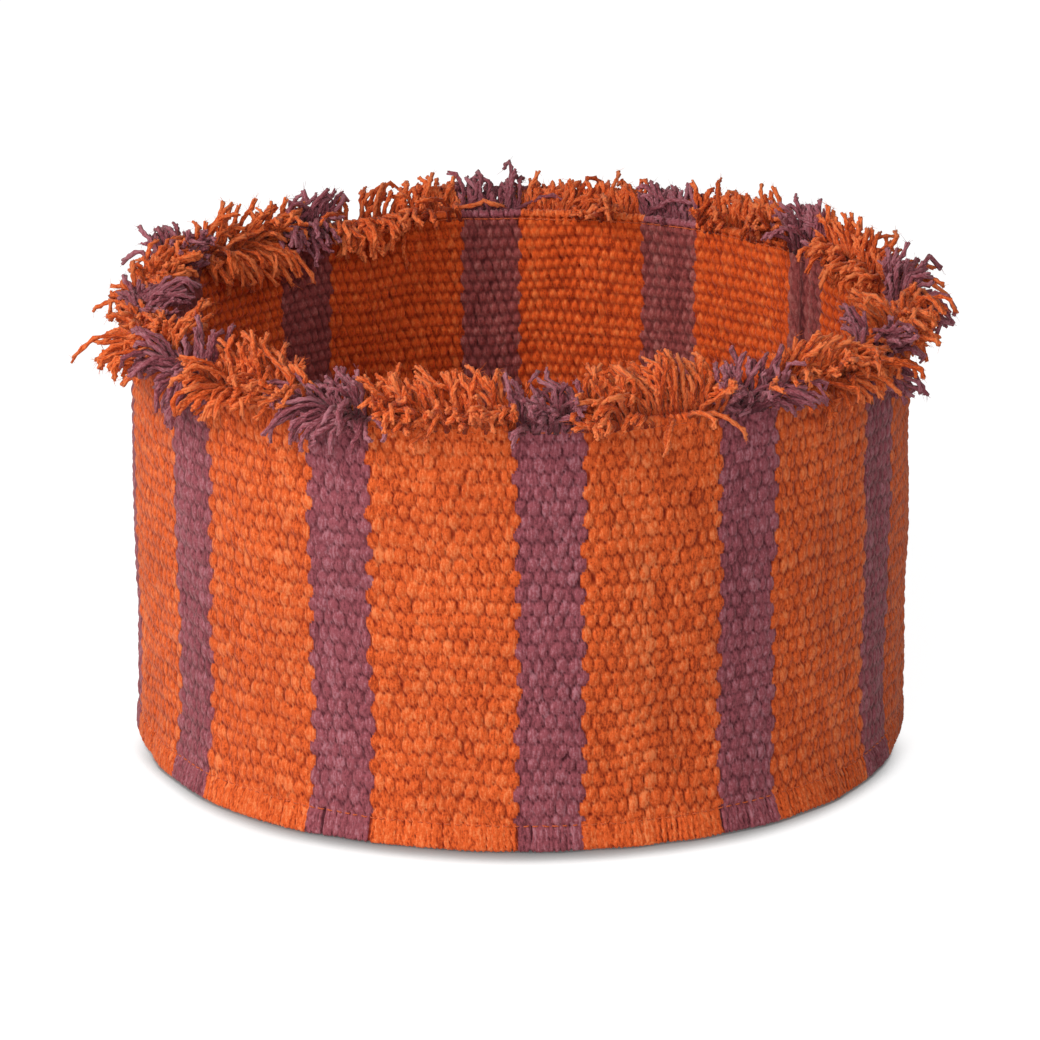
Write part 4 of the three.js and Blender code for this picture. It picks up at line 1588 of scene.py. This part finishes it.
@dataclass
class Base:
    """The base: a flat round of the same striped cloth inside the hem."""

    sizes: Sizes
    weave: Weave
    rounding: float = 1.4
    edge_width: float = 3.0
    cloth_length: float = 130.0
    under_shade: float = 0.2
    across: int = 180
    along: int = 126

    def sheet(self, top: bool) -> tuple[np.ndarray, np.ndarray, dict[str, np.ndarray]]:
        """Works out one face of the round on a square grid pulled into a circle.

        The square's (u, v) goes to x = u sqrt(1 - v^2 / 2), y = v sqrt(1 - u^2 / 2), times the radius.

        Args:
            top: Whether this is the upper face.

        Returns:
            The points, the flat places, and the numbers that the finish reads.
        """
        s = self.sizes
        u, v = np.meshgrid(np.linspace(-1, 1, self.across), np.linspace(-1, 1, self.along), indexing="ij")
        x = s.base_radius * u * np.sqrt(1 - v * v / 2)
        y = s.base_radius * v * np.sqrt(1 - u * u / 2)
        edge = s.base_radius - np.hypot(x, y)
        turn = x / s.wall_radius + s.middle(1)
        found = self.weave.relief(turn, np.mod(y + self.cloth_length, self.cloth_length), np.ones_like(x))
        drop = np.clip(1 - edge / self.rounding, 0, 1)
        low = self.rounding * (1 - np.sqrt(np.clip(1 - drop * drop, 0, 1)))
        high = s.base_thickness - low + found.height * smooth(0, self.edge_width, edge)
        blank = np.zeros_like(x)
        # Painted shade: the weave's on the top face, and a little all over the underside.
        numbers = {
            "plum": found.plum,
            "tint": found.tint,
            "depth": found.depth if top else blank + self.under_shade,
            "inside": blank + 1,
        }
        return np.stack([x, y, high if top else low], -1), np.stack([x, y], -1), numbers

    def build(self, material: bpy.types.Material) -> bpy.types.Object:
        """Makes the base.

        Args:
            material: The finish.

        Returns:
            The piece.
        """
        made = Surface("woven_base")
        for top in (True, False):
            points, flat, numbers = self.sheet(top)
            quads = grid(self.across, self.along).reshape(-1, 4)[:, :: 1 if top else -1]
            numbers = {n: v.ravel() for n, v in numbers.items()}
            made.add(points.reshape(-1, 3), [quads], [flat.reshape(-1, 2)[quads]], **numbers)
        total = self.across * self.along
        i, k = np.arange(self.across), np.arange(self.along)
        ring = np.concatenate([
            i[:-1] * self.along,
            (self.across - 1) * self.along + k[:-1],
            i[:0:-1] * self.along + self.along - 1,
            k[:0:-1],
        ])
        after = np.roll(ring, -1)
        made.faces.append(np.stack([ring, ring + total, after + total, after], -1))
        made.runs.append(np.zeros((len(ring), 4, 2)))
        return finished(made.object(material), Dye.ORANGE.value, "base_disc")


@dataclass(frozen=True)
class Lamp:
    """A soft square lamp that faces a point of the basket."""

    name: str
    place: tuple
    size: float
    power: float
    colour: tuple = (1.0, 1.0, 1.0)


@dataclass
class Studio:
    """A white floor, soft lamps and the photograph's camera."""

    camera_place: tuple = (0.0168, -1.75, 0.645)
    camera_tilt: float = 71.69
    camera_turn: float = 0.55
    lens: float = 196.1
    sensor: float = 36.0
    farthest: float = 50.0
    aim: tuple = (0.0, 0.0, 0.07)
    air: float = 0.20
    floor_half: float = 6000.0
    floor_points: int = 9
    floor_drop: float = 0.15
    # The painted contact shadow: how far its occlusion reaches, where it fades out behind the front, and its
    # steps.
    painted_shadow_reach: float = 0.015
    painted_shadow_fade: float = 0.06
    painted_shadow_steps: tuple = (0.04, 0.90, 0.08, 1.0)
    glow: float = 0.95
    paper: tuple = (0.62, 0.62, 0.62, 1.0)
    paper_seen: tuple = (0.22, 0.22, 0.22, 1.0)
    lamps: tuple = (
        Lamp("key", (-1.50, -1.00, 1.52), 1.0, 37.0, (1.0, 0.985, 0.96)),
        Lamp("front", (0.00, -2.00, 0.80), 1.2, 18.0),
    )

    def floor(self) -> None:
        """Lays the floor; its finish shows white to the camera and keeps the basket's shadow, with a painted
        contact shadow where the camera's glow is dimmed close in front of the basket.
        """
        surface = Surface("studio_floor")
        side = np.linspace(-self.floor_half, self.floor_half, self.floor_points)
        x, y = np.meshgrid(side, side, indexing="ij")
        points = np.stack([x, y, x * 0 - self.floor_drop], -1).reshape(-1, 3)
        quads = grid(self.floor_points, self.floor_points).reshape(-1, 4)
        surface.add(points, [quads], [points[quads][..., :2]])
        made = bpy.data.materials.new("studio_paper")
        made.use_nodes = True
        g = Graph(made.node_tree)
        seen = g.seen()
        # Painted contact shadow: the glow dims near the basket by ambient occlusion, in front of it only,
        # narrower at its sides.
        near = g.make("ShaderNodeAmbientOcclusion", {"samples": 16}, {"Distance": self.painted_shadow_reach})
        near = Value(g, near.outputs["AO"])
        spot = g.make("ShaderNodeSeparateXYZ", None, {0: g.make("ShaderNodeTexCoord").outputs["Object"]})
        y = Value(g, spot.outputs["Y"])
        ahead = g.step(y, -self.painted_shadow_fade, 0.0, 1.0, 0.0)
        spread = g.step(y, -0.12, -0.05, 1.0, 3.0)
        painted_shadow_glow = 1 - ahead * g.math("POWER", 1 - near * near * near * near, spread)
        painted_shadow_glow = g.step(painted_shadow_glow, *self.painted_shadow_steps)
        shade = g.mix(seen, self.paper, self.paper_seen)
        paper = g.make("ShaderNodeBsdfDiffuse", None, {"Color": shade})
        glow = g.make("ShaderNodeEmission", None, {"Strength": seen * painted_shadow_glow * self.glow})
        both = g.make("ShaderNodeAddShader", None, {0: paper.outputs[0], 1: glow.outputs[0]})
        g.make("ShaderNodeOutputMaterial", None, {"Surface": both.outputs[0]})
        surface.object(made)
        log.info("studio_floor: white paper")

    def light(self) -> None:
        """Sets the world and the lamps."""
        world = bpy.data.worlds.new("studio_air")
        world.use_nodes = True
        bpy.context.scene.world = world
        g = Graph(world.node_tree)
        strength = self.air + (1 - self.air) * g.seen()
        air = g.make("ShaderNodeBackground", None, {"Color": (1.0, 1.0, 1.0, 1.0), "Strength": strength})
        g.make("ShaderNodeOutputWorld", None, {"Surface": air.outputs[0]})
        for lamp in self.lamps:
            data = bpy.data.lights.new("studio_" + lamp.name, "AREA")
            data.size = lamp.size
            data.energy = lamp.power
            data.color = lamp.colour
            made = bpy.data.objects.new("studio_" + lamp.name, data)
            made.location = lamp.place
            away = Vector(lamp.place) - Vector(self.aim)
            made.rotation_euler = away.to_track_quat("Z", "Y").to_euler()
            bpy.context.scene.collection.objects.link(made)
            log.info("%s lamp: %.0f W", lamp.name, lamp.power)

    def camera(self) -> None:
        """Places the camera as the photograph has it."""
        data = bpy.data.cameras.new("studio_camera")
        data.sensor_width = self.sensor
        data.lens = self.lens
        data.clip_end = self.farthest
        made = bpy.data.objects.new("studio_camera", data)
        made.location = self.camera_place
        made.rotation_euler = (math.radians(self.camera_tilt), 0, math.radians(self.camera_turn))
        bpy.context.scene.collection.objects.link(made)
        bpy.context.scene.camera = made
        bpy.context.scene.view_settings.view_transform = "Standard"


def declare(sizes: Sizes, walls: dict) -> None:
    """Works out each stripe's width round the basket, and does nothing more with it.

    Args:
        sizes: The basket's sizes.
        walls: The pieces of wall, by the name of their CAD node.
    """
    for number, dye in sizes.stripes:
        node = node_name(dye, "stripe", number)
        start, end = sizes.span(dye, number)
        if node not in walls:
            end = sizes.seam_angle
        width = (end - start) * sizes.wall_radius * MM


def main() -> None:
    """Builds the studio and the basket, and reports each piece."""
    studio = Studio()
    studio.camera()
    studio.light()
    studio.floor()
    sizes = Sizes()
    outer = Weave(sizes, Face.OUTSIDE, seed=21, row_shade=0.025, ridge=0.06)
    inner = Weave(
        sizes, Face.INSIDE, seed=61, column_width=1.53, row_pitch=3.82, swing=0.62, crown=1.0,
        half_width=1.25, ridge=0.32, taper=0.46, shade=0.66, row_shade=0.15, crease_shade=0.12,
        unevenness=0.72,
    )
    cloth = {dye: CottonFinish(dye.name.lower() + "_cloth").material() for dye in Dye}
    yarn = {
        dye: CottonFinish(
            dye.name.lower() + "_yarn", fibre_turn=14.0, fibre_pitch=0.42, fibre_height=0.24,
            fibre_share=1.0, tint_share=0.045, sheen=0.12,
        ).material()
        for dye in Dye
    }
    wall = Wall(sizes, outer, inner)
    walls = wall.build(cloth)
    tufts = Fringe(sizes, wall).build(yarn)
    thread = ThreadFinish("orange_sewing_thread", linear(222, 104, 46), linear(150, 50, 14)).material()
    seam_thread = ThreadFinish("plum_sewing_thread", linear(120, 60, 72), linear(70, 28, 38)).material()
    Stitching(sizes, wall).build(thread, seam_thread)
    base = Base(sizes, outer).build(cloth[Dye.ORANGE])
    declare(sizes, walls)


if __name__ == "__main__":
    main()
